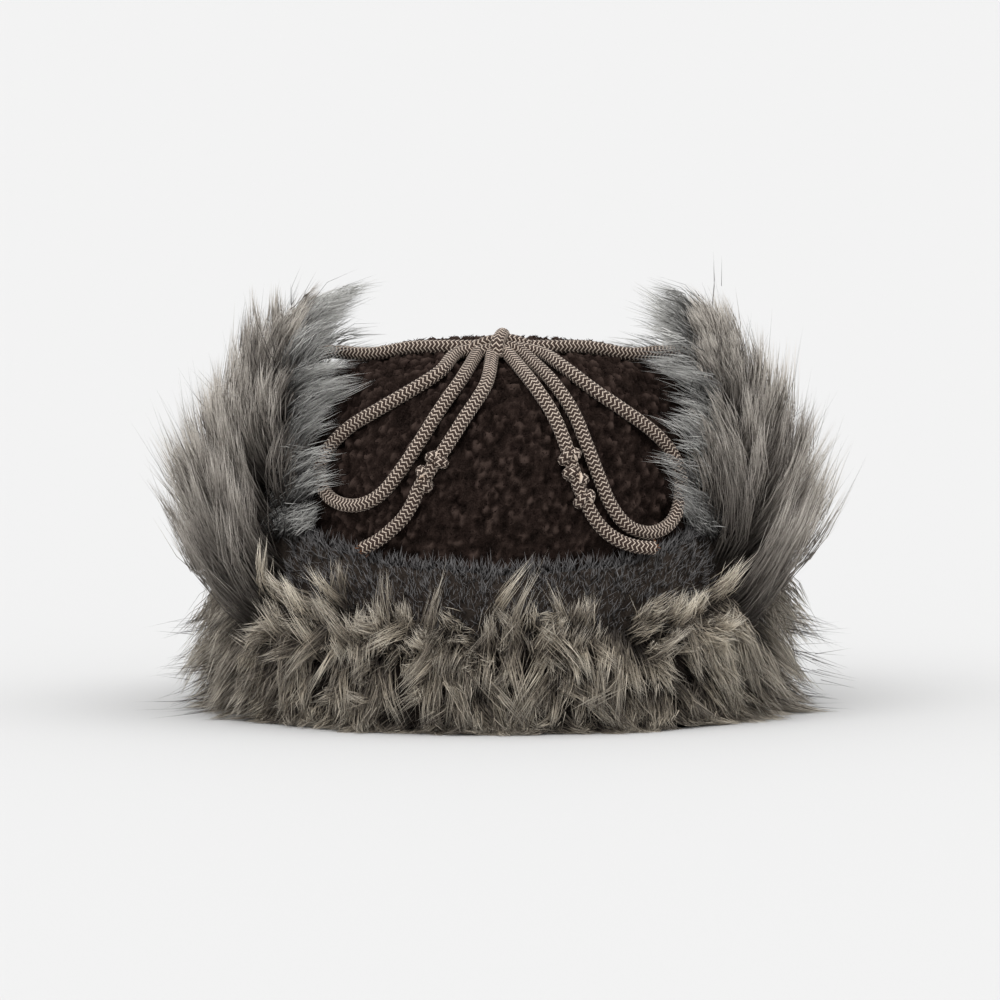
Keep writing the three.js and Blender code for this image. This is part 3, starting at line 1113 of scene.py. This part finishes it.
@dataclass(frozen=True)
class WispLay:
    """Loose guard hairs that stand out from an ear flap, low on its outside and over its top."""

    form: FlapForm
    count: int
    pale: float = 0.3
    low_share: float = 0.36
    low_length: float = 46.0
    leave: Table = ((0.3, 70), (1.0, 40))
    arrive: Table = ((0.3, 34), (1.0, -4))
    length: Table = ((0.3, 58), (0.7, 58), (1.0, 42))

    def tufts(self, rng: np.random.Generator) -> Tufts:
        """Lays the hairs.

        Args:
            rng: The random source.

        Returns:
            The hairs' lines.
        """
        total = self.count
        low = rng.uniform(size=total) < self.low_share
        across = np.where(low, rng.uniform(0.1, 0.55, size=total), rng.uniform(0.1, 0.9, size=total))
        up = np.where(low, rng.uniform(0.04, 0.3, size=total), rng.uniform(0.3, 1.0, size=total))
        heading = np.where(low, 170, 0) + rng.normal(scale=24, size=total)
        leave = np.where(low, 66, read(self.leave, up)) + rng.normal(scale=8, size=total)
        arrive = np.where(low, 70, read(self.arrive, up)) + rng.normal(scale=14, size=total)
        length = np.where(low, self.low_length, read(self.length, up)) * rng.uniform(0.8, 1.12, size=total)
        lines = comb(self.form, np.stack([across, up, heading, leave, arrive, length]), 0.9)
        return Tufts(*lines, rng.normal(self.pale, 0.2, size=total))


@dataclass(frozen=True)
class LiningLay:
    """Silky fur at an ear flap's front edge and top, swept in over the crown."""

    form: FlapForm
    count: int
    lowest: float = 82.0
    pale: float = 0.62
    top_share: float = 0.36
    top_length: float = 50.0
    sweep: Table = ((0.0, 58), (0.2, 44), (0.5, 6), (0.9, -40))
    length: Table = ((0.36, 9), (0.7, 14), (0.86, 30), (1.0, 62))

    def tufts(self, rng: np.random.Generator) -> Tufts:
        """Lays the tufts.

        Args:
            rng: The random source.

        Returns:
            The tufts.
        """
        total = self.count
        top = rng.uniform(size=total) < self.top_share
        across = np.where(top, rng.uniform(0.14, 0.86, size=total), rng.uniform(0.0, 0.2, size=total))
        up = np.where(top, rng.uniform(0.84, 1.0, size=total), rng.uniform(0.36, 1.0, size=total))
        up = np.maximum(up, self.lowest / self.form.edge_height(across))
        heading = read(self.sweep, across) + rng.normal(scale=9, size=total)
        leave = np.where(top, 14, 26) + rng.normal(scale=7, size=total)
        arrive = np.where(top, -62, -46) + rng.normal(scale=9, size=total)
        length = np.where(top, self.top_length, read(self.length, up)) * rng.uniform(0.8, 1.14, size=total)
        table = np.stack([across, up, heading, leave, arrive, length])
        lines = comb(self.form, table, np.where(top, 0.4, 0.7))
        tufts = Tufts(*lines, rng.normal(self.pale, 0.3, size=total))
        return tufts.gathered(max(6, total // 6), 0.42)


@dataclass(frozen=True)
class BrowLay:
    """Short upright tufts where the front flap's long fur meets its plush."""

    form: FlapForm
    count: int
    pale: float = 0.62

    def tufts(self, rng: np.random.Generator) -> Tufts:
        """Lays the tufts.

        Args:
            rng: The random source.

        Returns:
            The tufts.
        """
        across = rng.uniform(0.0, 1.0, size=self.count)
        up = rng.uniform(0.44, 0.63, size=self.count)
        rise, side, out = self.form.axes(across, up)
        root = self.form.point(across, up, 0.8)
        upward = rng.uniform(size=self.count) < 0.62
        heading = np.where(upward, 0, 180) + rng.normal(scale=24, size=self.count)
        heading = np.radians(heading + np.where(upward, -34, 34) * (2 * across - 1))[:, None]
        length = rng.uniform(15, 26, size=(self.count, 1))
        course = rise * np.cos(heading) + side * np.sin(heading)
        bend = root + 0.55 * length * unit(out + 0.4 * course)
        tip = root + length * unit(course + 0.8 * out)
        tufts = Tufts(root, bend, tip, rng.normal(self.pale, 0.22, size=self.count))
        return tufts.gathered(self.count // 4, 0.4)


Lay = LockLay | CombedLay | SkirtLay | WispLay | LiningLay | BrowLay


@dataclass
class FurCoat:
    """One coat of fur on a flap."""

    name: str
    lay: Lay
    finish: FurFinish
    long_hairs: int
    short_hairs: int
    spread: float = 2.7
    radius: float = 0.23

    def build(self, place: HatPlace) -> bpy.types.Object:
        """Grows and dresses the coat.

        Args:
            place: Where the hat lies.

        Returns:
            The coat's piece.
        """
        form = self.lay.form
        rng = np.random.default_rng(form.seed + len(self.name))
        tufts = self.lay.tufts(rng)
        long_hair = tufts.strands(self.long_hairs, self.spread, self.radius, rng)
        short_hair = tufts.short_strands(self.short_hairs, self.spread, self.radius, rng)
        parts = [
            long_hair.arrays(form.crown, 3, form.seed + 1),
            short_hair.arrays(form.crown, 1, form.seed + 2),
        ]
        piece = MeshArrays.piece(self.name, parts, place)
        piece.data.materials.append(self.finish.material())
        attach(piece, "root")
        return piece


@dataclass
class FurFlap:
    """One flap of the hat: its cloth backing and its coats of fur."""

    form: FlapForm
    place: HatPlace
    coats: list[FurCoat]
    columns: int = 72
    rows: int = 30
    floor_softness: float = 3.0

    def backing(self) -> bpy.types.Object:
        """Builds the flap's wall, with short dark underfur on one side and fleece on the other.

        Returns:
            The wall's piece.
        """
        columns, rows = self.columns, self.rows
        rng = np.random.default_rng(self.form.seed + 500)
        across, up = np.meshgrid(np.linspace(0.004, 0.996, columns), np.linspace(0.02, 1.0, rows))
        fur_side = self.form.point(across, up, 0.9)
        crown_side = self.form.point(across, up, 0.0)
        curl = rng.normal(scale=0.5, size=fur_side.shape)
        sides = np.concatenate([(fur_side + curl).reshape(-1, 3), crown_side.reshape(-1, 3)])
        points = press_floor(sides, self.floor_softness)
        row, column = np.meshgrid(np.arange(rows - 1), np.arange(columns - 1), indexing="ij")
        here = (row * columns + column).ravel()
        turned = self.form.end > self.form.start
        front = np.stack([here, here + 1, here + columns + 1, here + columns], axis=1)
        back = (front + columns * rows)[:, ::-1]
        ring = np.concatenate([
            np.arange(columns),
            np.arange(1, rows) * columns + columns - 1,
            (rows - 1) * columns + np.arange(columns - 2, -1, -1),
            np.arange(rows - 2, 0, -1) * columns,
        ])
        following = np.roll(ring, -1)
        border = np.stack([following, ring, ring + columns * rows, following + columns * rows], axis=1)
        faces = [group if turned else group[:, ::-1] for group in (front, border, back)]
        piece = make_mesh(f"{self.form.name}_backing", self.place.metres(points), faces)
        paint(piece, rng.uniform(0.1, 0.6, size=len(points)), rng.uniform(0.2, 0.9, size=len(points)))
        piece.data.materials.append(UNDERFUR.material())
        piece.data.materials.append(FLEECE.material())
        index = np.zeros(len(piece.data.polygons), dtype=np.int32)
        index[len(front) + len(border):] = 1
        piece.data.polygons.foreach_set("material_index", index)
        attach(piece, "root")
        return piece

    def build(self) -> list[bpy.types.Object]:
        """Builds and dresses the flap.

        Returns:
            Its pieces.
        """
        pieces = [coat.build(self.place) for coat in self.coats] + [self.backing()]
        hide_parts(self.form.name)
        return pieces


@dataclass
class PlushRoll:
    """The short slate-grey pile along the front flap's free edge."""

    form: FlapForm
    place: HatPlace
    count: int = 9000
    lowest: float = 0.56
    shortest: float = 5.0
    longest: float = 9.0
    radius: float = 0.34

    def build(self) -> list[bpy.types.Object]:
        """Builds and dresses the pile.

        Returns:
            Its piece.
        """
        rng = np.random.default_rng(self.form.seed + 77)
        across = rng.uniform(0.0, 1.0, size=self.count)
        up = rng.uniform(self.lowest, 1.02, size=self.count)
        root = self.form.point(across, up, rng.uniform(0.0, 0.9, size=self.count))
        rise, side, out = self.form.axes(across, up)
        length = rng.uniform(self.shortest, self.longest, size=(self.count, 1))
        tilt = np.radians(rng.normal(46.0, 24.0, size=(self.count, 1)))
        course = rise * np.cos(tilt) + out * np.sin(tilt) + side * rng.normal(scale=0.4, size=(self.count, 1))
        patch = np.sin(across * 40 + 3 * np.sin(up * 22)) * np.sin(up * 30 + across * 17)
        strands = Strands(
            root=root,
            bend=root + 0.5 * length * unit(course),
            tip=root + length * unit(course),
            radius=self.radius * rng.uniform(0.8, 1.2, size=self.count),
            tint=np.clip(rng.normal(0.42, 0.2, size=self.count) + 0.22 * patch, 0, 1),
            low=np.full(self.count, 0.1),
            high=rng.uniform(0.6, 1.0, size=self.count),
        )
        parts = [strands.arrays(self.form.crown, 1, self.form.seed + 78)]
        piece = MeshArrays.piece("front_flap_plush", parts, self.place)
        piece.data.materials.append(PLUSH.material())
        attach(piece, "root")
        return [piece]


@dataclass
class Crown:
    """The fleece crown, hollow and open below."""

    form: CrownForm
    place: HatPlace
    columns: int = 460
    rows: int = 140
    lining_columns: int = 96
    lining_rows: int = 28
    curls: int = 5800
    nap: float = 3.8
    fuzz: int = 16000
    fuzz_clear: float = 0.9
    seed: int = 5

    def profile(self, rows: int) -> Array:
        """Spaces the rows of the dome evenly from rim to top.

        Args:
            rows: Number of rows.

        Returns:
            Reach and height shares of each row.
        """
        angle = np.linspace(0, math.pi / 2, 2000)
        power = 2 / self.form.dome_power
        reach, height = np.cos(angle) ** power, np.sin(angle) ** power
        reach[-1] = 0.0
        step = np.hypot(np.diff(reach) * self.form.half_length, np.diff(height) * self.form.height)
        travel = np.concatenate([[0], np.cumsum(step)])
        even = np.linspace(0, travel[-1], rows + 1)[:-1]
        return np.stack([np.interp(even, travel, reach), np.interp(even, travel, height)], axis=1)

    def skin(self, columns: int, rows: int, inset: float) -> Array:
        """Lays rows of points over the dome.

        Args:
            columns: Points round each row.
            rows: Number of rows.
            inset: How far inside the outer skin they lie.

        Returns:
            The points, with the top's middle last.
        """
        around = np.arange(columns) * math.tau / columns
        radius = self.form.plan_radius(around)
        shares = self.profile(rows)
        reach = shares[:, :1] * (radius - inset)[None]
        height = np.repeat(shares[:, 1:] * (self.form.height - inset), columns, axis=1)
        grid = np.stack([reach * np.sin(around), -reach * np.cos(around), height], axis=-1)
        return np.vstack([grid.reshape(-1, 3), [[0, 0, self.form.height - inset]]])

    def pile(self, points: Array) -> Array:
        """Height of the curly pile over the skin.

        Args:
            points: Points of the skin.

        Returns:
            Heights from 0 to 1.
        """
        rng = np.random.default_rng(self.seed)
        seat = points[rng.choice(len(points) - 1, size=self.curls, p=self.spread(points))]
        seat = seat + rng.normal(scale=0.8, size=seat.shape)
        tree = KDTree(len(seat))
        for index, place in enumerate(seat):
            tree.insert(place, index)
        tree.balance()
        waves = [np.sin(points[:, axis] * 1.9 + points[:, (axis + 1) % 3] * 1.3) for axis in range(3)]
        warp = np.stack(waves, axis=1)
        heights = np.empty(len(points))
        for index, place in enumerate(points + 0.8 * warp):
            (_, _, near), (_, _, far) = tree.find_n(place, 2)
            heights[index] = 0.5 * min((far - near) / 2.6, 1.0) + 0.5 * max(0.0, 1 - (near / 3.8) ** 2)
        return heights

    def fuzz_piece(self, skin: Array, pile: Array) -> bpy.types.Object:
        """Grows short curled hairs over the pile.

        Args:
            skin: Points of the pile's surface, with the top's middle last.
            pile: Heights of the pile there.

        Returns:
            The hairs, as one piece.
        """
        rng = np.random.default_rng(self.seed + 9)
        pick = rng.choice(len(skin) - 1, size=self.fuzz, p=self.spread(skin))
        away = self.form.outward(skin[pick])
        lean = unit(np.cross(away, rng.normal(size=away.shape)))
        length = rng.uniform(1.8, 3.4, size=(self.fuzz, 1))
        root = skin[pick] - 0.4 * away
        tip = root + length * unit(0.55 * away + lean)
        strands = Strands(
            root=root,
            bend=root + 0.6 * length * away,
            tip=tip,
            radius=rng.uniform(0.22, 0.4, size=self.fuzz),
            tint=rng.uniform(0.0, 0.7, size=self.fuzz),
            # Hairs over hollows take darker colours and hairs on curl tops paler ones: painted shade and
            # light that follow the pile.
            low=0.25 * pile[pick],
            high=np.clip(0.35 + 0.65 * pile[pick], 0, 1),
        )
        parts = [strands.arrays(self.form, 1, self.seed, self.fuzz_clear)]
        piece = MeshArrays.piece("crown_fuzz", parts, self.place)
        piece.data.materials.append(FLEECE.material())
        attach(piece, "root")
        return piece

    def spread(self, points: Array) -> Array:
        """Shares of the skin's area round each point, so that curls are even.

        Args:
            points: Points of the skin, with the top's middle last.

        Returns:
            Shares that sum to one.
        """
        reach = np.hypot(points[:-1, 0], points[:-1, 1])
        return reach / reach.sum()

    def build(self) -> list[bpy.types.Object]:
        """Builds and dresses the crown.

        Returns:
            Its piece.
        """
        outer = self.skin(self.columns, self.rows, 0.0)
        pile = self.pile(outer)
        skin = outer + self.form.outward(outer) * (self.nap * (pile - 0.35))[:, None]
        inner = self.skin(self.lining_columns, self.lining_rows, self.form.wall)
        total = len(outer)
        top = total - 1
        last = self.columns * (self.rows - 1)
        round_top = np.arange(self.columns)
        beside = (round_top + 1) % self.columns
        cap = np.stack([last + round_top, last + beside, np.full(self.columns, top)], axis=1)
        inner_last = total + self.lining_columns * (self.lining_rows - 1)
        ring = np.arange(self.lining_columns)
        after = (ring + 1) % self.lining_columns
        middle = np.full(self.lining_columns, total + len(inner) - 1)
        inner_cap = np.stack([inner_last + after, inner_last + ring, middle], axis=1)
        faces = [
            belt(self.columns, self.rows),
            cap,
            belt(self.lining_columns, self.lining_rows, total)[:, ::-1],
            inner_cap,
            self.rim(total),
        ]
        points = np.vstack([skin, inner])
        points[:, 2] = np.maximum(points[:, 2], 0.0)
        piece = make_mesh("crown_fleece", self.place.metres(points), faces)
        rng = np.random.default_rng(self.seed + 1)
        # The pile's height also sets the colour: painted shade in the hollows and painted light on the curl
        # tops. The lining takes one middle value.
        along = np.concatenate([pile, np.full(len(inner), 0.35)])
        paint(piece, np.clip(along, 0, 1), rng.uniform(0.2, 0.9, size=len(points)))
        piece.data.materials.append(FLEECE.material())
        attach(piece, "root")
        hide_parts("crown")
        return [piece, self.fuzz_piece(skin, pile)]

    def rim(self, first: int) -> Array:
        """Closes the wall along the rim.

        Args:
            first: Number of the lining's first corner.

        Returns:
            Faces between the outer skin's lowest row and the lining's.
        """
        outer = np.arange(self.columns)
        beside = (outer + 1) % self.columns
        match = np.round(outer * self.lining_columns / self.columns).astype(int) % self.lining_columns
        match_beside = np.round(beside * self.lining_columns / self.columns).astype(int) % self.lining_columns
        same = match == match_beside
        wedge = np.stack([beside, outer, first + match], axis=1)
        step = np.stack([beside[~same], first + match[~same], first + match_beside[~same]], axis=1)
        return np.vstack([wedge, step])


RoutePoint = tuple[Seat, float, float, float]


@dataclass(frozen=True)
class Braid:
    """How the cord is made: its thickness and the lay of its yarns, in millimetres."""

    diameter: float = 6.0
    sides: int = 24
    step: float = 0.7
    yarns: int = 12
    cell: float = 1.0
    relief: float = 0.1

    def tube(self, line: Array, thickness: float = 1.0) -> tuple[Array, Array, Array, Array]:
        """Builds the cord's surface along a line.

        Args:
            line: Evenly spaced points of its middle line.
            thickness: Share of the cord's full diameter.

        Returns:
            Points, side faces, end faces, and the sides' places on the map of the braid.
        """
        course = unit(np.gradient(line, axis=0))
        normal = unit(np.cross(course[0], [0.31, 0.52, 0.79]))
        normals = np.empty_like(line)
        for index, direction in enumerate(course):
            normal = unit(normal - direction * float(normal @ direction))
            normals[index] = normal
        beside = np.cross(course, normals)
        ring = np.arange(self.sides)
        angle = ring * math.tau / self.sides
        travel = np.concatenate([[0], np.cumsum(np.linalg.norm(np.diff(line, axis=0), axis=1))])
        plait = np.cos(6 * angle[None] + math.pi * travel[:, None] / self.cell)
        radius = thickness * (self.diameter / 2 + self.relief * plait)
        points = (
            line[:, None]
            + normals[:, None] * (np.cos(angle)[None] * radius)[..., None]
            + beside[:, None] * (np.sin(angle)[None] * radius)[..., None]
        ).reshape(-1, 3)
        total = len(points)
        last = total - self.sides
        near = np.stack([(ring + 1) % self.sides, ring, np.full(self.sides, total)], axis=1)
        beyond = last + (ring + 1) % self.sides
        far = np.stack([last + ring, beyond, np.full(self.sides, total + 1)], axis=1)
        turn = self.yarns * np.stack([ring, ring + 1, ring + 1, ring], axis=1) / self.sides
        step = travel / self.cell
        steps = np.stack([step[:-1], step[:-1], step[1:], step[1:]], axis=1)
        braid = np.stack(np.broadcast_arrays(turn[None], steps[:, None]), axis=-1).reshape(-1, 2)
        skin = np.vstack([points, line[:1], line[-1:]])
        return skin, belt(self.sides, len(line)), np.vstack([near, far]), braid

    def piece(
        self, name: str, lines: list[Array], place: HatPlace, thickness: float = 1.0
    ) -> bpy.types.Object:
        """Builds one or more lengths of cord as one piece.

        Args:
            name: Name of the piece.
            lines: Middle lines, in millimetres.
            place: Where the hat lies.
            thickness: Share of the cord's full diameter.

        Returns:
            The dressed piece.
        """
        points, sides, ends, maps = [], [], [], []
        first = 0
        for line in lines:
            skin, side, end, braid = self.tube(line, thickness)
            points.append(skin)
            sides.append(side + first)
            ends.append(end + first)
            maps.append(braid)
            first += len(skin)
        piece = make_mesh(name, place.metres(np.vstack(points)), [np.vstack(sides), np.vstack(ends)])
        flat = np.vstack([*maps, np.full((np.vstack(ends).size, 2), 0.25)])
        layer = piece.data.uv_layers.new(name=BRAID_MAP)
        layer.data.foreach_set("uv", flat.astype(np.float32).ravel())
        piece.data.materials.append(BRAID.material())
        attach(piece, "root")
        return piece


LIFT = 3.9


def in_air(across: float, along: float, height: float) -> RoutePoint:
    """A route point that rests on nothing."""
    return (Seat.FREE, across, along, height)


def on_top(across: float, along: float, lift: float = LIFT) -> RoutePoint:
    """A route point on the crown's top, that far off its skin."""
    return (Seat.TOP, across, along, lift)


def on_front(across: float, height: float, lift: float = LIFT) -> RoutePoint:
    """A route point on the crown's front, that far off its skin."""
    return (Seat.FRONT, across, height, lift)


TIE_ROUTES: dict[str, tuple[RoutePoint, ...]] = {
    "tie_left": (
        in_air(-84, -6, 158), in_air(-72, -14, 159), on_top(-56, -24), on_top(-38, -34),
        on_top(-24, -40), on_top(-12.7, -43),
    ),
    "tie_right": (
        in_air(84, -6, 158), in_air(72, -14, 159), on_top(56, -24), on_top(38, -33),
        on_top(24, -40), on_top(12.7, -43),
    ),
}
LOOP_ROUTES: dict[str, tuple[RoutePoint, ...]] = {
    "bow_loop_left": (
        on_top(-12.9, -49.6), on_top(-19, -54), on_front(-26, 151), on_front(-36, 145),
        on_front(-50, 137), on_front(-64, 128), on_front(-73, 118), on_front(-76.5, 109),
        on_front(-74, 101), on_front(-67, 96.5), on_front(-58, 97), on_front(-50, 102),
        on_front(-42, 112), on_front(-34, 124), on_front(-25.5, 137), on_front(-17, 148),
        on_top(-9.6, -53.4),
    ),
    "bow_loop_right": (
        on_top(12.9, -49.6), on_top(19, -54), on_front(27, 153), on_front(40, 144),
        on_front(52, 136), on_front(64, 127), on_front(72, 118), on_front(76, 108),
        on_front(76, 97), on_front(72, 88), on_front(63, 84.5), on_front(54, 88), on_front(47, 97),
        on_front(42, 109), on_front(37, 122), on_front(31, 136), on_front(23, 147),
        on_top(9.8, -53.4),
    ),
}
TAIL_ROUTES: dict[str, tuple[RoutePoint, ...]] = {
    "bow_tail_left": (
        on_top(-3.2, -55), on_front(-6.5, 146), on_front(-15, 134), on_front(-23, 122),
        on_front(-30, 112), on_front(-34.5, 104.5), on_front(-37, 98.5), on_front(-41, 92),
        on_front(-45.5, 87, 4.4), on_front(-50.5, 82, 6), on_front(-56, 78, 8),
    ),
    "bow_tail_right": (
        on_top(3.4, -55), on_front(14, 147), on_front(22, 136), on_front(27.5, 124),
        on_front(31, 113), on_front(34, 104), on_front(37, 97.5), on_front(40.5, 91),
        on_front(45, 85.5, 4.6), on_front(50, 81.5, 6.5), on_front(55.5, 79, 9),
        on_front(61, 78, 11),
    ),
}
KNOT_STRANDS: tuple[tuple[RoutePoint, ...], ...] = (
    (
        on_top(-12.7, -43), on_top(-5, -43.5, 4.2), on_top(5, -46.5, 4.2), on_top(12.9, -49.6),
    ),
    (
        on_top(12.7, -43), on_top(5, -44, 6.6), on_top(-5, -47, 6.6), on_top(-12.9, -49.6),
    ),
    (
        on_top(-9.6, -53.4), on_top(-4, -51, 4.2), on_top(1, -52, 4.2), on_top(3.4, -55),
    ),
    (
        on_top(9.8, -53.4), on_top(5, -50.5, 5.0), on_top(0, -51.5, 5.0), on_top(-3.2, -55),
    ),
    (
        on_top(2.5, -36.0, 3.2), on_top(1.5, -40.5, 8.2), on_top(0.5, -47.0, 9.6),
        on_top(-1.0, -53.5, 7.6), on_top(-1.5, -57.0, 3.2),
    ),
)
END_KNOTS: dict[str, tuple[tuple[float, float], ...]] = {
    "bow_tail_left": ((0.575, 24.0), (0.655, -30.0)),
    "bow_tail_right": ((0.525, 26.0), (0.6, -28.0), (0.68, 24.0)),
}


@dataclass
class TieCord:
    """The tie cord of both ear flaps, brought over the crown and tied in a bow."""

    form: CrownForm
    place: HatPlace
    braid: Braid = field(default_factory=Braid)
    ring_radius: float = 2.9
    ring_rise: float = 2.6
    ring_points: int = 33
    ring_thickness: float = 0.86
    fray_count: int = 30
    fray_length: float = 2.6

    def line(self, route: tuple[RoutePoint, ...]) -> Array:
        """The smooth middle line of a route."""
        return smooth_line(np.array([self.form.seat(*point) for point in route]), self.braid.step)

    def declare(
        self, line: Array
    ) -> None:
        """Works out one length of cord's path and length, and keeps neither.

        Args:
            line: Its middle line in millimetres.
        """
        path = self.place.metres(np.vstack([line[:-1:3], line[-1:]]))
        line_length(line) * MM

    def end_knots(self, name: str, line: Array) -> bpy.types.Object:
        """Winds the turns of an end knot round a tail.

        Args:
            name: Name of the tail.
            line: The tail's middle line.

        Returns:
            The turns, as one piece.
        """
        turns = []
        for share, tilt in END_KNOTS[name]:
            index = int(share * (len(line) - 1))
            course = unit(line[index + 2] - line[index - 2])
            away = self.form.outward(line[index])
            away = unit(away - course * float(away @ course))
            beside = np.cross(course, away)
            angle = np.linspace(0, math.tau, self.ring_points + 1)[:-1]
            slope = math.tan(math.radians(tilt))
            climb = np.linspace(-self.ring_rise / 2, self.ring_rise / 2, len(angle))
            ring = (
                line[index]
                + self.ring_radius * np.cos(angle)[:, None] * away
                + self.ring_radius * np.sin(angle)[:, None] * (beside + slope * course)
                + climb[:, None] * course
            )
            turns.append(smooth_line(ring, self.braid.step))
        return self.braid.piece(f"{name}_knot", turns, self.place, self.ring_thickness)

    def fray(self, name: str, line: Array) -> bpy.types.Object:
        """Lets the yarns spread at a cut end.

        Args:
            name: Name of the tail.
            line: The tail's middle line.

        Returns:
            The loose yarns, as one piece.
        """
        rng = np.random.default_rng(len(line))
        course = unit(line[-1] - line[-6])
        root = line[-1] - 1.5 * course + rng.normal(scale=1.1, size=(self.fray_count, 3))
        spread = unit(course + rng.normal(scale=0.32, size=(self.fray_count, 3)))
        length = self.fray_length * rng.uniform(0.6, 1.1, size=(self.fray_count, 1))
        strands = Strands(
            root=root,
            bend=root + 0.5 * length * course,
            tip=root + length * spread,
            radius=np.full(self.fray_count, 0.4),
            tint=rng.uniform(0.1, 0.9, size=self.fray_count),
            low=np.zeros(self.fray_count),
            high=np.ones(self.fray_count),
        )
        piece = MeshArrays.piece(f"{name}_fray", [strands.arrays(self.form, 3, len(line) + 1)], self.place)
        piece.data.materials.append(FRAY.material())
        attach(piece, "root")
        return piece

    def build(self) -> list[bpy.types.Object]:
        """Builds and dresses the cord.

        Returns:
            Its pieces.
        """
        knot = self.braid.piece(
            "bow_knot_turns", [self.line(route) for route in KNOT_STRANDS], self.place
        )
        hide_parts("bow_knot")
        pieces = [knot]
        for routes, far_end, lay in ((TIE_ROUTES, "object", "taut"), (LOOP_ROUTES, "object", "loose")):
            for name, route in routes.items():
                line = self.line(route)
                cord = self.braid.piece(f"{name}_cord", [line], self.place)
                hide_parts(name)
                self.declare(line)
                pieces.append(cord)
        for name, route in TAIL_ROUTES.items():
            line = self.line(route)
            cord = self.braid.piece(f"{name}_cord", [line], self.place)
            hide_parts(name)
            others = [self.end_knots(name, line), self.fray(name, line)]
            self.declare(line)
            pieces += [cord, *others]
        return pieces


@dataclass
class Studio:
    """A pale sweep of paper, soft lamps and the camera."""

    place: HatPlace
    elevation: float = 5.0
    distance: float = 6.0
    picture_width: float = 0.445
    aim_height: float = 0.0918
    sensor: float = 36.0
    floor_reach: float = 12.0

    def camera(self) -> None:
        """Sets up the camera at the photograph's angle."""
        data = bpy.data.cameras.new("camera")
        data.sensor_width = self.sensor
        data.lens = self.distance * self.sensor / self.picture_width
        data.clip_end = 50.0
        camera = bpy.data.objects.new("camera", data)
        slope = math.radians(self.elevation)
        aim = Vector((self.place.x, 0.0, self.aim_height))
        camera.location = aim + self.distance * Vector((0.0, -math.cos(slope), math.sin(slope)))
        camera.rotation_euler = (aim - camera.location).to_track_quat("-Z", "Y").to_euler()
        bpy.context.scene.collection.objects.link(camera)
        bpy.context.scene.camera = camera

    def sweep(self) -> bpy.types.Object:
        """Builds the floor.

        Returns:
            The floor's object.
        """
        side = self.floor_reach
        points = np.array([[-side, -side, 0], [side, -side, 0], [side, side, 0], [-side, side, 0]])
        floor = make_mesh("paper_floor", points, [np.array([[0, 1, 2, 3]])])
        nodes = MaterialNodes("pale_paper", 0.9, 0.1)
        grain = nodes.noise(900.0, 2.0)
        tone = nodes.ramp(grain, ((0.0, shade(204, 204, 204)), (1.0, shade(208, 208, 208))))
        floor.data.materials.append(nodes.dress(tone, grain, 0.00002))
        return floor

    def lamp(self, name: str, where: tuple[float, float, float], spread: float, strength: float) -> None:
        """Adds one broad, far lamp that shines on the hat.

        Args:
            name: Name of the lamp.
            where: The direction that it shines from.
            spread: Its width seen from the hat, in degrees.
            strength: Its strength.
        """
        data = bpy.data.lights.new(name, "SUN")
        data.angle = math.radians(spread)
        data.energy = strength
        lamp = bpy.data.objects.new(name, data)
        lamp.location = where
        lamp.rotation_euler = (-lamp.location).to_track_quat("-Z", "Y").to_euler()
        bpy.context.scene.collection.objects.link(lamp)

    def build(self) -> None:
        """Sets up camera, floor, lamps and surrounding light."""
        scene = bpy.context.scene
        scene.view_settings.view_transform = "Standard"
        self.camera()
        self.sweep()
        self.lamp("key_lamp", (-0.9, -1.4, 2.2), 50.0, 1.1)
        self.lamp("top_lamp", (0.7, 0.1, 2.4), 60.0, 0.9)
        world = bpy.data.worlds.new("surround")
        world.use_nodes = True
        world.node_tree.nodes["Background"].inputs["Color"].default_value = shade(243, 243, 243)
        world.node_tree.nodes["Background"].inputs["Strength"].default_value = 1.0
        scene.world = world


def flap_forms(crown: CrownForm) -> dict[str, FlapForm]:
    """Lists the four flaps.

    Args:
        crown: The crown that they stand round.

    Returns:
        The flaps' forms by name.
    """
    return {
        form.name: form
        for form in (
            FlapForm("front_flap", 11, -56, 56, FRONT_EDGE, 15, 8, FRONT_ROWS, crown),
            FlapForm("ear_flap_left", 23, -56, -142, EAR_EDGE, 13, 12, (), crown),
            FlapForm("ear_flap_right", 37, 56, 142, EAR_EDGE, 13, 12, (), crown),
            FlapForm("neck_flap", 53, 142, 218, NECK_EDGE, 14, 8, NECK_ROWS, crown),
        )
    }


def main() -> None:
    """Builds the hat piece by piece."""
    logging.basicConfig(level=logging.INFO, format="%(message)s")
    crown = CrownForm()
    place = HatPlace.of_crown()
    Studio(place).build()
    forms = flap_forms(crown)
    front, neck = forms["front_flap"], forms["neck_flap"]
    makers = (
        TieCord(crown, place),
        Crown(crown, place),
        FurFlap(front, place, [
            FurCoat("front_flap_fur", LockLay(front, 350, 0.7), FRONT_FUR, 14, 46),
            FurCoat("front_flap_brow_fur", BrowLay(front, 150), FRONT_FUR, 11, 40, 2.2),
        ]),
        *(
            FurFlap(ear, place, [
                FurCoat(f"{ear.name}_fur", CombedLay(ear, 260), EAR_FUR, 13, 42),
                FurCoat(f"{ear.name}_skirt_fur", SkirtLay(ear, 110), SIDE_FUR, 12, 36),
                FurCoat(f"{ear.name}_guard_hair", WispLay(ear, 90), GUARD_HAIR, 2, 2, 1.6, 0.16),
                FurCoat(f"{ear.name}_lining_fur", LiningLay(ear, 150), LINING_FUR, 12, 36),
            ])
            for ear in (forms["ear_flap_left"], forms["ear_flap_right"])
        ),
        FurFlap(neck, place, [FurCoat("neck_flap_fur", LockLay(neck, 240, 0.95), FRONT_FUR, 11, 36)]),
        PlushRoll(front, place),
    )
    for maker in makers:
        for piece in maker.build():
            LOG.info("%s: %d faces", piece.name, len(piece.data.polygons))


if __name__ == "__main__":
    main()
